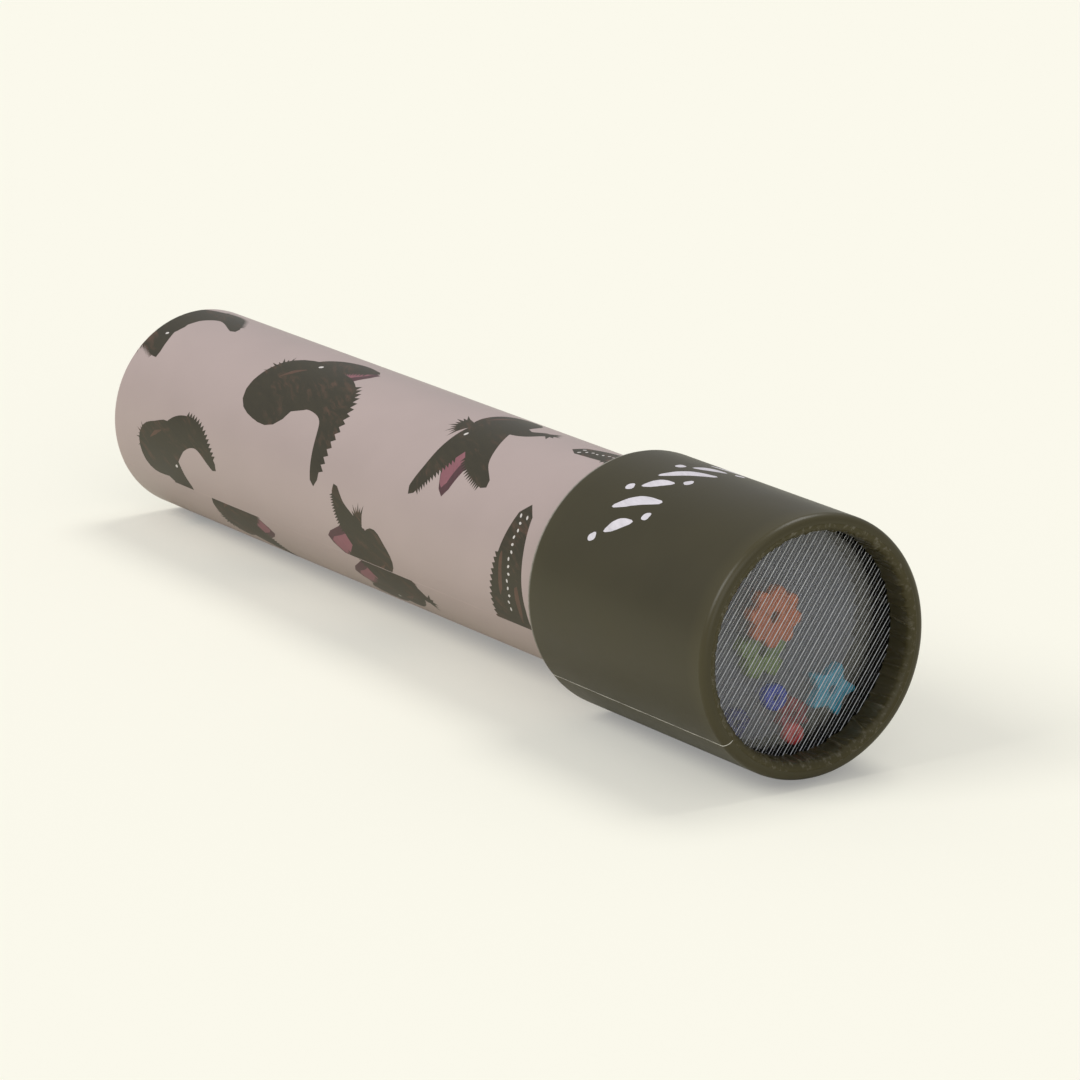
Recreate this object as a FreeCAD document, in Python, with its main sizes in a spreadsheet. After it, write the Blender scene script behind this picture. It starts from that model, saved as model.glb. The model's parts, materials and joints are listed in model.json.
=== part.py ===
"""A cardboard kaleidoscope with a turning head, lying on its side.

+X runs along the optical axis, from the eyepiece to the ribbed window, and +Z is up.
The origin is midway along the kaleidoscope, under its optical axis, at the lowest line of the head.

The tube carries the eyepiece, the mirror prism and a thin neck that stands out of its front end.
The head is a short sleeve round the tube's front end. It holds the bead cell, and a ring glued in it
is caught between a collar on the neck and the end of the tube, so that it turns and can't come off.

Stations along X are distances from the middle of the kaleidoscope. Every turned piece is drawn with
its axis on X and is then lifted to the optical axis by its Placement.
"""

import FreeCAD, Part
import math
import os
import Sketcher

OUTPUT_FOLDER = "parts"
VECTOR_X = FreeCAD.Vector(1, 0, 0)

doc = FreeCAD.newDocument("Kaleidoscope")
sheet = doc.addObject("Spreadsheet::Sheet", "Sizes")
sheet.Label = "Sizes"


# ---------------------------------------------------------------- driving dimensions, in millimetres and degrees

DRIVING = {
    # outside sizes
    "overall_length": 218.0,
    "tube_radius": 21.0,
    "head_length": 57.0,
    # walls
    "paper": 0.3,
    "tube_board": 1.8,
    "head_board": 2.7,
    "neck_wall": 1.0,
    "cell_wall": 0.8,
    # the head's rim and its turned-in paper
    "rim_outer_round": 1.2,
    "rim_inner_round": 1.0,
    "front_turn_in": 6.2,
    "rear_turn_in": 8.0,
    "tube_edge_round": 0.5,
    "tube_turn_over": 4.5,
    "wrap_to_head": 0.3,
    # overlap seams, as angles from the top, positive towards +Y, and the width and height of the lap
    "head_seam_angle": -128.0,
    "tube_seam_angle": -115.0,
    "seam_lap_angle": 16.0,
    "seam_step": 0.1,
    # bead cell
    "ribbed_thick": 1.6,
    "rib_height": 0.35,
    "rib_pitch": 1.515,
    "rib_angle": 54.0,
    "cell_depth": 9.0,
    "inner_window_thick": 1.0,
    "seat_thick": 1.2,
    "seat_width": 2.5,
    "disc_gap": 0.05,
    # turning joint
    "head_room": 1.0,
    "turning_gap": 0.4,
    "end_play": 0.3,
    "collar_thick": 1.5,
    "retainer_thick": 1.5,
    "neck_glued_length": 30.0,
    "guide_length": 6.0,
    "guide_gap": 0.3,
    # eyepiece
    "eyepiece_thick": 2.5,
    "label_thick": 0.5,
    "label_inset": 1.5,
    "peephole_radius": 5.0,
    "label_hole_margin": 0.5,
    "peep_window_lap": 8.0,
    "peep_window_thick": 0.6,
    # mirror prism
    "mirror_thick": 1.2,
    "mirror_gap": 0.1,
    "prism_room": 0.5,
    "jacket_thick": 0.4,
    "support_thick": 3.0,
    "prism_end_gap": 1.0,
    # beads
    "bead_gap": 0.4,
    "wall_gap": 0.3,
    "bead_thick": 3.0,
    "bead_edge_cut": 0.6,
}

# The beads: what each is, how many petals or points it has, and whether it lies behind the ribbed
# window or before the inner one.
BEADS = {
    "orange_bead": ("flower", 8, "front"),
    "green_bead": ("flower", 5, "rear"),
    "teal_star": ("star", 5, "front"),
    "red_bead": ("flower", 6, "rear"),
    "blue_bead": ("round", 0, "front"),
    "navy_bead": ("round", 0, "rear"),
    "coral_bead": ("round", 0, "front"),
}

# Each bead's own sizes, its place as an angle from the top, positive towards +Y, and the turn about its
# own axis. One with no reach, the distance from the optical axis, rests against the cell's wall.
BEAD_SIZES = {
    "orange_bead": {"radius": 5.9, "hole": 1.2, "petal": 1.4, "reach": 5.4, "angle": -34, "turn": 10},
    "green_bead": {"radius": 5.5, "hole": 1.1, "petal": 2.0, "reach": 4.0, "angle": -153, "turn": 0},
    "teal_star": {"radius": 5.6, "hole": 0.9, "waist": 3.1, "angle": 139, "turn": 22},
    "red_bead": {"radius": 3.3, "hole": 0.7, "petal": 1.1, "angle": 163, "turn": 0},
    "blue_bead": {"radius": 2.6, "hole": 0.7, "reach": 11.3, "angle": -166, "turn": 0},
    "navy_bead": {"radius": 2.8, "hole": 0.7, "angle": -155, "turn": 0},
    "coral_bead": {"radius": 2.1, "hole": 0.6, "angle": 175, "turn": 0},
}
for bead, sizes in BEAD_SIZES.items():
    for field, value in sizes.items():
        DRIVING[f"{bead}_{field}"] = value

# Stations and radii that follow from the driving dimensions.
FOLLOWING = {
    "head_bore": "=tube_radius + head_room",
    "head_board_outer": "=head_bore + head_board",
    "head_radius": "=head_board_outer + paper",
    "turned_in_bore": "=head_bore - paper",
    "axis_height": "=head_radius",
    "front_x": "=overall_length / 2",
    "rear_x": "=-overall_length / 2",
    "head_rear_x": "=front_x - head_length",
    # the cell, from the front backwards
    "ribbed_front_x": "=front_x - front_turn_in",
    "ribbed_rear_x": "=ribbed_front_x - ribbed_thick",
    "inner_window_x": "=ribbed_rear_x - cell_depth",
    "seat_x": "=inner_window_x - inner_window_thick",
    "seat_rear_x": "=seat_x - seat_thick",
    "cell_radius": "=head_bore - disc_gap",
    "cell_bore": "=cell_radius - cell_wall",
    # the turning joint, from the front backwards
    "collar_x": "=seat_rear_x - end_play",
    "collar_rear_x": "=collar_x - collar_thick",
    "retainer_x": "=collar_rear_x - end_play",
    "retainer_rear_x": "=retainer_x - retainer_thick",
    "tube_front_x": "=retainer_rear_x - end_play",
    # tube
    "tube_board_outer": "=tube_radius - paper",
    "tube_bore": "=tube_board_outer - tube_board",
    "neck_bore": "=tube_bore - neck_wall",
    "neck_rear_x": "=tube_front_x - neck_glued_length",
    "wrap_front_x": "=head_rear_x - wrap_to_head",
    "label_x": "=rear_x + label_thick",
    "board_rear_x": "=label_x + paper",
    "eyepiece_x": "=board_rear_x + eyepiece_thick",
    "peep_window_x": "=eyepiece_x + peep_window_thick",
    "peep_window_radius": "=peephole_radius + peep_window_lap",
    # mirror prism: the jacket's corners reach prism_reach from the axis, which gives the distance from
    # the axis to a mirror's face, and that gives the mirrors' width
    "prism_front_x": "=collar_x - prism_end_gap",
    "prism_rear_x": "=peep_window_x + prism_end_gap",
    "prism_reach": "=neck_bore - prism_room",
    "prism_walls": "=mirror_thick + mirror_gap + jacket_thick",
    "corner_extra": "=mirror_gap / 2 + jacket_thick * tan(30 deg)",
    "corner_slope": "=prism_walls + sqrt(3) * corner_extra",
    "corner_reach": "=sqrt(corner_slope ^ 2 + 4 * (prism_reach ^ 2 - prism_walls ^ 2 - corner_extra ^ 2))",
    "mirror_face": "=(corner_reach - corner_slope) / 4",
    "mirror_width": "=2 * sqrt(3) * mirror_face - mirror_gap",
    "mirror_back": "=mirror_face + mirror_thick",
    "jacket_inner": "=mirror_back + mirror_gap",
    "jacket_inner_half": "=mirror_width / 2 + mirror_gap",
    "jacket_outer": "=jacket_inner + jacket_thick",
    "jacket_outer_half": "=jacket_inner_half + jacket_thick * tan(30 deg)",
    "support_hole": "=jacket_outer + mirror_gap",
    "support_hole_half": "=jacket_outer_half + mirror_gap * tan(30 deg)",
}


def fill_sheet():
    """One row for each size: its name, then its value, which takes the name as its alias."""
    row = 1
    for name, value in list(DRIVING.items()) + list(FOLLOWING.items()):
        sheet.set(f"A{row}", name)
        sheet.set(f"B{row}", str(value))
        sheet.setAlias(f"B{row}", name)
        row += 1
    doc.recompute()


def bound(text):
    """An expression with each size's name looked up in the sheet."""
    names = sorted(list(DRIVING) + list(FOLLOWING), key=len, reverse=True)
    out = []
    word = ""
    for letter in text + " ":
        if letter.isalnum() or letter == "_":
            word += letter
            continue
        out.append("Sizes." + word if word in names else word)
        out.append(letter)
        word = ""
    return "".join(out).strip()


# ---------------------------------------------------------------- helpers


def new_body(label):
    body = doc.addObject("PartDesign::Body", label)
    body.Label = label
    return body


def origin_plane(body, role):
    return next(f for f in body.Origin.OriginFeatures if f.Role == role)


def new_sketch(body, name, role="XY_Plane"):
    sketch = body.newObject("Sketcher::SketchObject", name)
    sketch.AttachmentSupport = (origin_plane(body, role), [""])
    sketch.MapMode = "FlatFace"
    return sketch


def tie_point(sketch, geometry, end, across, up):
    """Holds one point of a sketch at distances from the sketch's origin, each an expression."""
    x, y = sketch.getPoint(geometry, end).x, sketch.getPoint(geometry, end).y
    for kind, value, text in (("DistanceX", x, across), ("DistanceY", y, up)):
        index = sketch.addConstraint(Sketcher.Constraint(kind, -1, 1, geometry, end, value))
        sketch.setExpression(f"Constraints[{index}]", bound(text))


def value_of(text):
    """What an expression gives for the sizes as they are, in millimetres."""
    return float(sheet.evalExpression(bound(text)))


def draw_outline(sketch, corners):
    """A closed outline of straight lines, whose corners are pairs of expressions."""
    points = [FreeCAD.Vector(value_of(a), value_of(b), 0) for a, b in corners]
    first = sketch.GeometryCount
    count = len(points)
    for i in range(count):
        sketch.addGeometry(Part.LineSegment(points[i], points[(i + 1) % count]), False)
    for i in range(count):
        after = first + (i + 1) % count
        sketch.addConstraint(Sketcher.Constraint("Coincident", first + i, 2, after, 1))
    for i, (across, up) in enumerate(corners):
        tie_point(sketch, first + i, 1, across, up)


def draw_circle(sketch, radius, across="0", up="0"):
    centre = FreeCAD.Vector(value_of(across), value_of(up), 0)
    circle = Part.Circle(centre, FreeCAD.Vector(0, 0, 1), value_of(radius))
    index = sketch.addGeometry(circle, False)
    tie_point(sketch, index, 3, across, up)
    held = sketch.addConstraint(Sketcher.Constraint("Radius", index, circle.Radius))
    sketch.setExpression(f"Constraints[{held}]", bound(radius))
    return index


def revolve(body, corners, name="Turned", angle=None):
    """A solid turned about X from an outline of (station, radius) pairs."""
    sketch = new_sketch(body, name + "Profile")
    draw_outline(sketch, corners)
    turned = body.newObject("PartDesign::Revolution", name)
    turned.Profile = sketch
    turned.ReferenceAxis = (sketch, ["H_Axis"])
    if angle:
        turned.Midplane = False
        turned.setExpression("Angle", bound(angle))
    doc.recompute()
    return turned


def rectangle(x_low, x_high, r_low, r_high):
    return [(x_low, r_low), (x_high, r_low), (x_high, r_high), (x_low, r_high)]


def round_rims(body, feature, rims, radius, name):
    """Rounds the circular edges of a turned piece that lie at the given (station, radius) pairs."""
    wanted = [(value_of(x), value_of(r)) for x, r in rims]
    found = []
    for i, edge in enumerate(feature.Shape.Edges, 1):
        curve = edge.Curve
        if not isinstance(curve, Part.Circle):
            continue
        here = (curve.Center.x, curve.Radius)
        if any(math.dist(here, w) < 1e-4 for w in wanted):
            found.append(f"Edge{i}")
    if not found:
        raise ValueError(f"{body.Label}: no rim at {rims}")
    rounded = body.newObject("PartDesign::Fillet", name)
    rounded.Base = (feature, found)
    rounded.setExpression("Radius", bound(radius))
    doc.recompute()
    return rounded


def lift(piece, x="0", turn="0", y="0", z="0"):
    """Puts a piece on the optical axis, moved by expressions and turned about X by an angle."""
    piece.Placement = FreeCAD.Placement(FreeCAD.Vector(), FreeCAD.Rotation(VECTOR_X, 0))
    piece.setExpression("Placement.Base.x", bound(x))
    piece.setExpression("Placement.Base.y", bound(y))
    piece.setExpression("Placement.Base.z", bound(f"axis_height + {z}"))
    piece.setExpression("Placement.Rotation.Axis.x", "1")
    piece.setExpression("Placement.Rotation.Axis.y", "0")
    piece.setExpression("Placement.Rotation.Axis.z", "0")
    piece.setExpression("Placement.Rotation.Angle", bound(turn))
    return piece


def ring(label, x_low, x_high, r_low, r_high):
    """A plain turned ring, between two stations and two radii."""
    body = new_body(label)
    revolve(body, rectangle(x_low, x_high, r_low, r_high))
    return lift(body)


def disc(label, x_low, x_high, radius):
    return ring(label, x_low, x_high, "0", radius)


# ---------------------------------------------------------------- the tube


def make_tube_shell():
    """The greyboard tube, its rear edge rounded where the paper turns over it."""
    body = new_body("tube_shell")
    wall = revolve(body, rectangle("board_rear_x", "tube_front_x", "tube_bore", "tube_board_outer"))
    round_rims(body, wall, [("board_rear_x", "tube_board_outer")], "tube_edge_round", "RearEdge")
    return lift(body)


def make_tube_wrap():
    """The printed paper: round the tube, then over its rear edge on to the end, with a lap at its seam."""
    body = new_body("tube_wrap")
    skin = revolve(
        body,
        [
            ("wrap_front_x", "tube_board_outer"),
            ("wrap_front_x", "tube_radius"),
            ("label_x", "tube_radius"),
            ("label_x", "tube_radius - tube_turn_over"),
            ("board_rear_x", "tube_radius - tube_turn_over"),
            ("board_rear_x", "tube_board_outer"),
        ],
    )
    skin = round_rims(body, skin, [("label_x", "tube_radius")], "tube_edge_round + paper", "OuterEdge")
    rim = [("board_rear_x", "tube_board_outer")]
    skin = round_rims(body, skin, rim, "tube_edge_round", "InnerEdge")
    lap = rectangle(
        "label_x + tube_edge_round + paper", "wrap_front_x", "tube_board_outer", "tube_radius + seam_step"
    )
    revolve(body, lap, "SeamLap", "seam_lap_angle")
    # The lap is drawn from +Y and turns on towards +Z; the turn below brings its free edge to the seam.
    return lift(body, turn="90 - tube_seam_angle")


def make_eyepiece():
    ring("eyepiece_disc", "board_rear_x", "eyepiece_x", "peephole_radius", "tube_bore")
    ring(
        "end_label", "rear_x", "label_x", "peephole_radius - label_hole_margin", "tube_radius - label_inset"
    )
    disc("peephole_window", "eyepiece_x", "peep_window_x", "peep_window_radius")


def make_neck():
    """The liner in the tube's front end, and the collar on the part of it that stands out."""
    ring("neck_tube", "neck_rear_x", "collar_x", "neck_bore", "tube_bore")
    ring("stop_collar", "collar_rear_x", "collar_x", "tube_bore", "tube_radius")


# ---------------------------------------------------------------- the mirror prism


def prism_corners(distance, half):
    """The six corners of a triangle with cut-off points: one flat below the axis, and two turned 120 degrees."""
    corners = []
    for turn in (0, 120, 240):
        for side in ("-", ""):
            across = f"{side}{half} * cos({turn} deg) + {distance} * sin({turn} deg)"
            up = f"{side}{half} * sin({turn} deg) - {distance} * cos({turn} deg)"
            corners.append((across, up))
    return corners


def pad(body, sketch, length, name="Block"):
    block = body.newObject("PartDesign::Pad", name)
    block.Profile = sketch
    block.setExpression("Length", bound(length))
    doc.recompute()
    return block


def make_mirrors():
    """Three strips whose faces make an equilateral triangle round the axis."""
    for name, turn in (("mirror_floor", 0), ("mirror_left", 120), ("mirror_right", 240)):
        body = new_body(name)
        sketch = new_sketch(body, "Section", "YZ_Plane")
        half = "mirror_width / 2"
        draw_outline(
            sketch,
            [
                ("-" + half, "-mirror_face"),
                (half, "-mirror_face"),
                (half, "-mirror_back"),
                ("-" + half, "-mirror_back"),
            ],
        )
        pad(body, sketch, "prism_front_x - prism_rear_x")
        lift(body, x="prism_rear_x", turn=str(turn))


def make_mirror_jacket():
    body = new_body("mirror_jacket")
    sketch = new_sketch(body, "Section", "YZ_Plane")
    draw_outline(sketch, prism_corners("jacket_outer", "jacket_outer_half"))
    draw_outline(sketch, prism_corners("jacket_inner", "jacket_inner_half"))
    pad(body, sketch, "prism_front_x - prism_rear_x")
    lift(body, x="prism_rear_x")


def make_mirror_supports():
    """Discs that fill the bore round the prism, one at each end."""
    places = (
        ("rear_mirror_support", "prism_rear_x", "tube_bore"),
        ("front_mirror_support", "prism_front_x - support_thick", "neck_bore"),
    )
    for name, x, radius in places:
        body = new_body(name)
        sketch = new_sketch(body, "Section", "YZ_Plane")
        draw_circle(sketch, radius)
        draw_outline(sketch, prism_corners("support_hole", "support_hole_half"))
        pad(body, sketch, "support_thick")
        lift(body, x=x)


# ---------------------------------------------------------------- the head


def make_head_shell():
    """The greyboard sleeve, with a rounded rim at the front."""
    body = new_body("head_shell")
    wall = revolve(
        body, rectangle("head_rear_x + paper", "front_x - paper", "head_bore", "head_board_outer")
    )
    front = "front_x - paper"
    wall = round_rims(body, wall, [(front, "head_board_outer")], "rim_outer_round", "OuterRim")
    round_rims(body, wall, [(front, "head_bore")], "rim_inner_round", "InnerRim")
    return lift(body)


def make_head_wrap():
    """The olive paper: round the sleeve, and turned in at both ends, with a lap at its seam."""
    body = new_body("head_wrap")
    skin = revolve(
        body,
        [
            ("head_rear_x + rear_turn_in", "turned_in_bore"),
            ("head_rear_x", "turned_in_bore"),
            ("head_rear_x", "head_radius"),
            ("front_x", "head_radius"),
            ("front_x", "turned_in_bore"),
            ("front_x - front_turn_in", "turned_in_bore"),
            ("front_x - front_turn_in", "head_bore"),
            ("front_x - paper", "head_bore"),
            ("front_x - paper", "head_board_outer"),
            ("head_rear_x + paper", "head_board_outer"),
            ("head_rear_x + paper", "head_bore"),
            ("head_rear_x + rear_turn_in", "head_bore"),
        ],
    )
    rounds = (
        ("OuterRim", "front_x", "head_radius", "rim_outer_round + paper"),
        ("InnerRim", "front_x", "turned_in_bore", "rim_inner_round + paper"),
        ("OuterFold", "front_x - paper", "head_board_outer", "rim_outer_round"),
        ("InnerFold", "front_x - paper", "head_bore", "rim_inner_round"),
    )
    for name, x, r, radius in rounds:
        skin = round_rims(body, skin, [(x, r)], radius, name)
    lap = rectangle(
        "head_rear_x", "front_x - rim_outer_round - paper", "head_board_outer", "head_radius + seam_step"
    )
    revolve(body, lap, "SeamLap", "seam_lap_angle")
    return lift(body, turn="90 - head_seam_angle")


def make_head_rings():
    """The running parts inside the head: the retaining ring, the felt guide and the seat for the cell."""
    ring("retaining_ring", "retainer_rear_x", "retainer_x", "tube_bore + turning_gap", "head_bore")
    guide_rear = "head_rear_x + rear_turn_in + end_play"
    ring("guide_strip", guide_rear, guide_rear + " + guide_length", "tube_board_outer + guide_gap", "head_bore")
    ring("cell_seat_ring", "seat_rear_x", "seat_x", "head_bore - seat_width", "head_bore")


# ---------------------------------------------------------------- the bead cell


def make_ribbed_window():
    """A clear disc whose front is cut into parallel ribs: a flat top, two slopes and a flat valley each."""
    body = new_body("ribbed_window")
    plate = revolve(body, rectangle("ribbed_rear_x", "ribbed_front_x", "0", "cell_radius"))
    sketch = new_sketch(body, "Valley", "XY_Plane")
    draw_outline(
        sketch,
        [
            ("ribbed_front_x - rib_height", "-rib_pitch * 0.2"),
            ("ribbed_front_x - rib_height", "rib_pitch * 0.2"),
            ("ribbed_front_x + rib_height", "rib_pitch * 0.5"),
            ("ribbed_front_x + rib_height", "-rib_pitch * 0.5"),
        ],
    )
    valley = body.newObject("PartDesign::Pocket", "ValleyCut")
    valley.Profile = sketch
    valley.Midplane = True
    valley.Type = "Length"
    valley.setExpression("Length", bound("cell_radius * 2.2"))
    doc.recompute()
    if valley.Shape.Volume >= plate.Shape.Volume:
        raise ValueError("ribbed_window: the valley cuts nothing")
    body.Tip = valley
    patterns = []
    for name, reverse in (("Upper", False), ("Lower", True)):
        row = body.newObject("PartDesign::LinearPattern", name)
        row.Originals = [valley]
        row.Direction = (sketch, ["V_Axis"])
        row.Reversed = reverse
        row.setExpression("Length", bound("rib_pitch * (floor(cell_radius / rib_pitch))"))
        row.setExpression("Occurrences", bound("floor(cell_radius / rib_pitch) + 1"))
        patterns.append(row)
        body.Tip = row
        doc.recompute()
    return lift(body, turn="rib_angle")


def make_cell():
    make_ribbed_window()
    ring("cell_spacer_ring", "inner_window_x", "ribbed_rear_x", "cell_bore", "cell_radius")
    disc("inner_window", "seat_x", "inner_window_x", "cell_radius")


# ---------------------------------------------------------------- the beads


def bead_station(layer):
    """Where the bead's middle lies along X: just behind the ribbed window, or just before the inner one."""
    if layer == "front":
        return "ribbed_rear_x - bead_gap - bead_thick / 2"
    return "inner_window_x + bead_gap + bead_thick / 2"


def centred_pad(body, sketch, name):
    block = body.newObject("PartDesign::Pad", name)
    block.Profile = sketch
    block.Midplane = True
    block.setExpression("Length", bound("bead_thick"))
    doc.recompute()
    return block


def drill(body, radius):
    sketch = new_sketch(body, "HoleCircle", "YZ_Plane")
    draw_circle(sketch, radius)
    hole = body.newObject("PartDesign::Pocket", "Hole")
    hole.Profile = sketch
    hole.Midplane = True
    hole.setExpression("Length", bound("bead_thick * 2"))
    doc.recompute()


def make_round_bead(body, radius, hole):
    """A thick ring with its outer edges cut at 45 degrees."""
    half, cut = "bead_thick / 2", "bead_edge_cut"
    revolve(
        body,
        [
            (f"-{half}", hole),
            (half, hole),
            (half, f"{radius} - {cut}"),
            (f"{half} - {cut}", radius),
            (f"{cut} - {half}", radius),
            (f"-{half}", f"{radius} - {cut}"),
        ],
    )


def make_flower_bead(body, radius, hole, petal, count):
    """A round middle with round petals patterned about its axis."""
    middle = new_sketch(body, "Middle", "YZ_Plane")
    draw_circle(middle, f"{radius} - {petal}")
    centred_pad(body, middle, "MiddlePad")
    outline = new_sketch(body, "Petal", "YZ_Plane")
    draw_circle(outline, petal, "0", f"{radius} - {petal}")
    block = centred_pad(body, outline, "PetalPad")
    row = body.newObject("PartDesign::PolarPattern", "Petals")
    row.Originals = [block]
    row.Axis = (middle, ["N_Axis"])
    row.Angle = 360
    row.Occurrences = count
    body.Tip = row
    doc.recompute()
    drill(body, hole)


def make_star_bead(body, radius, hole, waist, count):
    """A star, its corners tips and waists by turns."""
    corners = []
    for i in range(2 * count):
        angle = 180.0 * i / count
        reach = radius if i % 2 == 0 else waist
        corners.append((f"{reach} * sin({angle} deg)", f"{reach} * cos({angle} deg)"))
    outline = new_sketch(body, "Star", "YZ_Plane")
    draw_outline(outline, corners)
    centred_pad(body, outline, "StarPad")
    drill(body, hole)


def make_beads():
    """Each bead is drawn round its own axis, and then turned and moved to its place in the cell."""
    for name, (kind, count, layer) in BEADS.items():
        body = new_body(name)
        radius = f"{name}_radius"
        hole = f"{name}_hole"
        if kind == "round":
            make_round_bead(body, radius, hole)
        elif kind == "star":
            make_star_bead(body, radius, hole, f"{name}_waist", count)
        else:
            make_flower_bead(body, radius, hole, f"{name}_petal", count)
        reach = f"{name}_reach" if "reach" in BEAD_SIZES[name] else f"(cell_bore - {radius} - wall_gap)"
        lift(
            body,
            x=bead_station(layer),
            turn=f"-{name}_turn",
            y=f"{reach} * sin({name}_angle * 1 deg)",
            z=f"{reach} * cos({name}_angle * 1 deg)",
        )


# ---------------------------------------------------------------- build, test and write


def finished():
    """The objects that are sub-parts: every body of the document."""
    return [o for o in doc.Objects if o.TypeId == "PartDesign::Body"]


def test_document():
    for o in doc.Objects:
        bad = [s for s in o.State if s in ("Invalid", "Error")]
        if bad:
            raise ValueError(f"{o.Label} ({o.Name}) is {bad}")
    for piece in finished():
        shape = piece.Shape
        if shape.isNull() or not shape.isValid() or len(shape.Solids) != 1:
            raise ValueError(f"{piece.Label}: null, not valid or not one solid")


def write_parts():
    os.makedirs(OUTPUT_FOLDER, exist_ok=True)
    for piece in finished():
        piece.Shape.exportStep(os.path.join(OUTPUT_FOLDER, piece.Label + ".step"))
        print(f"{piece.Label}: {piece.Shape.Volume:.1f} mm3")


fill_sheet()
make_tube_shell()
make_tube_wrap()
make_eyepiece()
make_neck()
make_mirrors()
make_mirror_jacket()
make_mirror_supports()
make_head_shell()
make_head_wrap()
make_head_rings()
make_cell()
make_beads()
doc.recompute()
test_document()
write_parts()
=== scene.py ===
"""A card kaleidoscope with a turning head: its papers, print, ribbed window, beads and inner parts.

The kaleidoscope lies on its side with its optical axis along X and its head towards +X. Round surfaces
are drawn flat, as a maker cuts the paper, and then rolled: u runs along the paper, and v round it.
"""

import json
import math
import random

import bpy
import numpy as np
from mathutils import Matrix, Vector
from mathutils.geometry import delaunay_2d_cdt


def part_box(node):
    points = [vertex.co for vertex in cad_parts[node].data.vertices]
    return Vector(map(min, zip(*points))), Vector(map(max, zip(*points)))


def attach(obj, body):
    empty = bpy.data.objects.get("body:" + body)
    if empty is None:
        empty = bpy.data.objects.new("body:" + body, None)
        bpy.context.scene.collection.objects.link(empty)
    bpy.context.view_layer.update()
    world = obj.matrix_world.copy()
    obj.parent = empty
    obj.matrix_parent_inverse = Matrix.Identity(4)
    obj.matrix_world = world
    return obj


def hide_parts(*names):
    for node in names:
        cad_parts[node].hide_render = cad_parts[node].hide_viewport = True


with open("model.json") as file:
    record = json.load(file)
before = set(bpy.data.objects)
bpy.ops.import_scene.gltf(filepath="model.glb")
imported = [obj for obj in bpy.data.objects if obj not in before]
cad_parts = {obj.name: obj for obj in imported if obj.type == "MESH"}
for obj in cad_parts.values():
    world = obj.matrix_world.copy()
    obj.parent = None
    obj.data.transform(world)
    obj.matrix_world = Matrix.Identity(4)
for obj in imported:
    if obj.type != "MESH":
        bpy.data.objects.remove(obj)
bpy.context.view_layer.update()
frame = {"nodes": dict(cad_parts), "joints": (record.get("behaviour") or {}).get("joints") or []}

bl_info = {
    "name": "Card Kaleidoscope",
    "version": (1, 0, 0),
    "blender": (4, 5, 0),
    "location": "View3D > Sidebar > Kaleidoscope",
    "description": "Dresses the kaleidoscope's frame with papers, print, windows, beads and a stage",
    "category": "Object",
}

MM = 0.001
LAP_ANGLE = math.radians(16)
PRINT_STEP = 0.6 * MM
SATIN_COAT = {"Specular IOR Level": 0.28, "Coat Weight": 0.3, "Coat Roughness": 0.32}
ACRYLIC_IOR = 1.49


# ---------------------------------------------------------------- places, read from the frame


def low(node):
    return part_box(node)[0]


def high(node):
    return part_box(node)[1]


def middle(node):
    return (low(node) + high(node)) / 2


def radius_of(node):
    return (high(node).z - low(node).z) / 2


def spin_centre(node):
    """A bead turns about its own hole, which the frame gives as its joint's place."""
    body = node.split("_")[0] + "_charge"
    for joint in frame["joints"]:
        if joint["child"] == body and joint["name"].endswith("_spin"):
            return Vector(joint["pos_m"])
    return middle(node)


AXIS_Z = middle("tube_shell").z
TUBE_RADIUS = radius_of("tube_wrap")
HEAD_RADIUS = radius_of("head_wrap")
HEAD_FRONT = high("head_wrap").x
HEAD_REAR = low("head_wrap").x
TUBE_REAR = low("tube_wrap").x
WINDOW_FRONT = high("ribbed_window").x
WINDOW_REAR = low("ribbed_window").x
WINDOW_RADIUS = radius_of("ribbed_window")
LIP_WALL = HEAD_RADIUS - 3.3 * MM
LIP_FACE = HEAD_RADIUS - 1.8 * MM


# ---------------------------------------------------------------- sizes and colours that a user may change


def length(name, description, value):
    return bpy.props.FloatProperty(
        name=name, description=description, default=value, min=0.0,
        subtype="DISTANCE", unit="LENGTH", precision=5,
    )


def angle(name, description, degrees):
    return bpy.props.FloatProperty(
        name=name, description=description, default=math.radians(degrees),
        subtype="ANGLE", unit="ROTATION",
    )


def colour(name, description, red, green, blue):
    """A colour from its display values, 0 to 255, kept as scene-linear values."""
    return bpy.props.FloatVectorProperty(
        name=name,
        description=description,
        default=tuple(to_linear(value / 255) for value in (red, green, blue)),
        min=0.0,
        max=1.0,
        size=3,
        subtype="COLOR",
    )


def to_linear(value):
    return value / 12.92 if value <= 0.04045 else ((value + 0.055) / 1.055) ** 2.4


class PaperSettings(bpy.types.PropertyGroup):
    thickness: length("Paper", "Thickness of the covering papers", 0.3 * MM)
    seam_step: length("Seam step", "How far a lapped seam stands up", 0.02 * MM)
    seam_edge: length("Seam edge", "Width of the rubbed strip along a seam's free edge", 0.16 * MM)
    tube_seam: angle("Tube seam", "Where the tube's seam lies, from the top, positive towards +Y", -115)
    head_seam: angle("Head seam", "Where the head's seam lies, from the top, positive towards +Y", -128)
    mauve: colour("Tube paper", "Colour of the tube's paper", 181, 164, 160)
    olive: colour("Head paper", "Colour of the head's paper", 58, 53, 31)
    core: colour("Paper core", "Colour of the paper's cut edge", 214, 208, 196)
    crocodile: colour("Crocodile", "Colour of the printed crocodiles", 56, 51, 36)
    crocodile_brown: colour("Crocodile strokes", "Colour of the strokes on the crocodiles", 92, 68, 54)
    mouth: colour("Mouth", "Colour of the printed mouths", 142, 92, 100)
    mouth_dark: colour("Throat", "Colour of the shade inside the mouths", 84, 54, 58)
    tooth: colour("Tooth", "Colour of the printed teeth", 214, 208, 204)
    marks: colour("Painted dabs", "Colour of the dabs on the head", 218, 213, 220)


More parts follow.
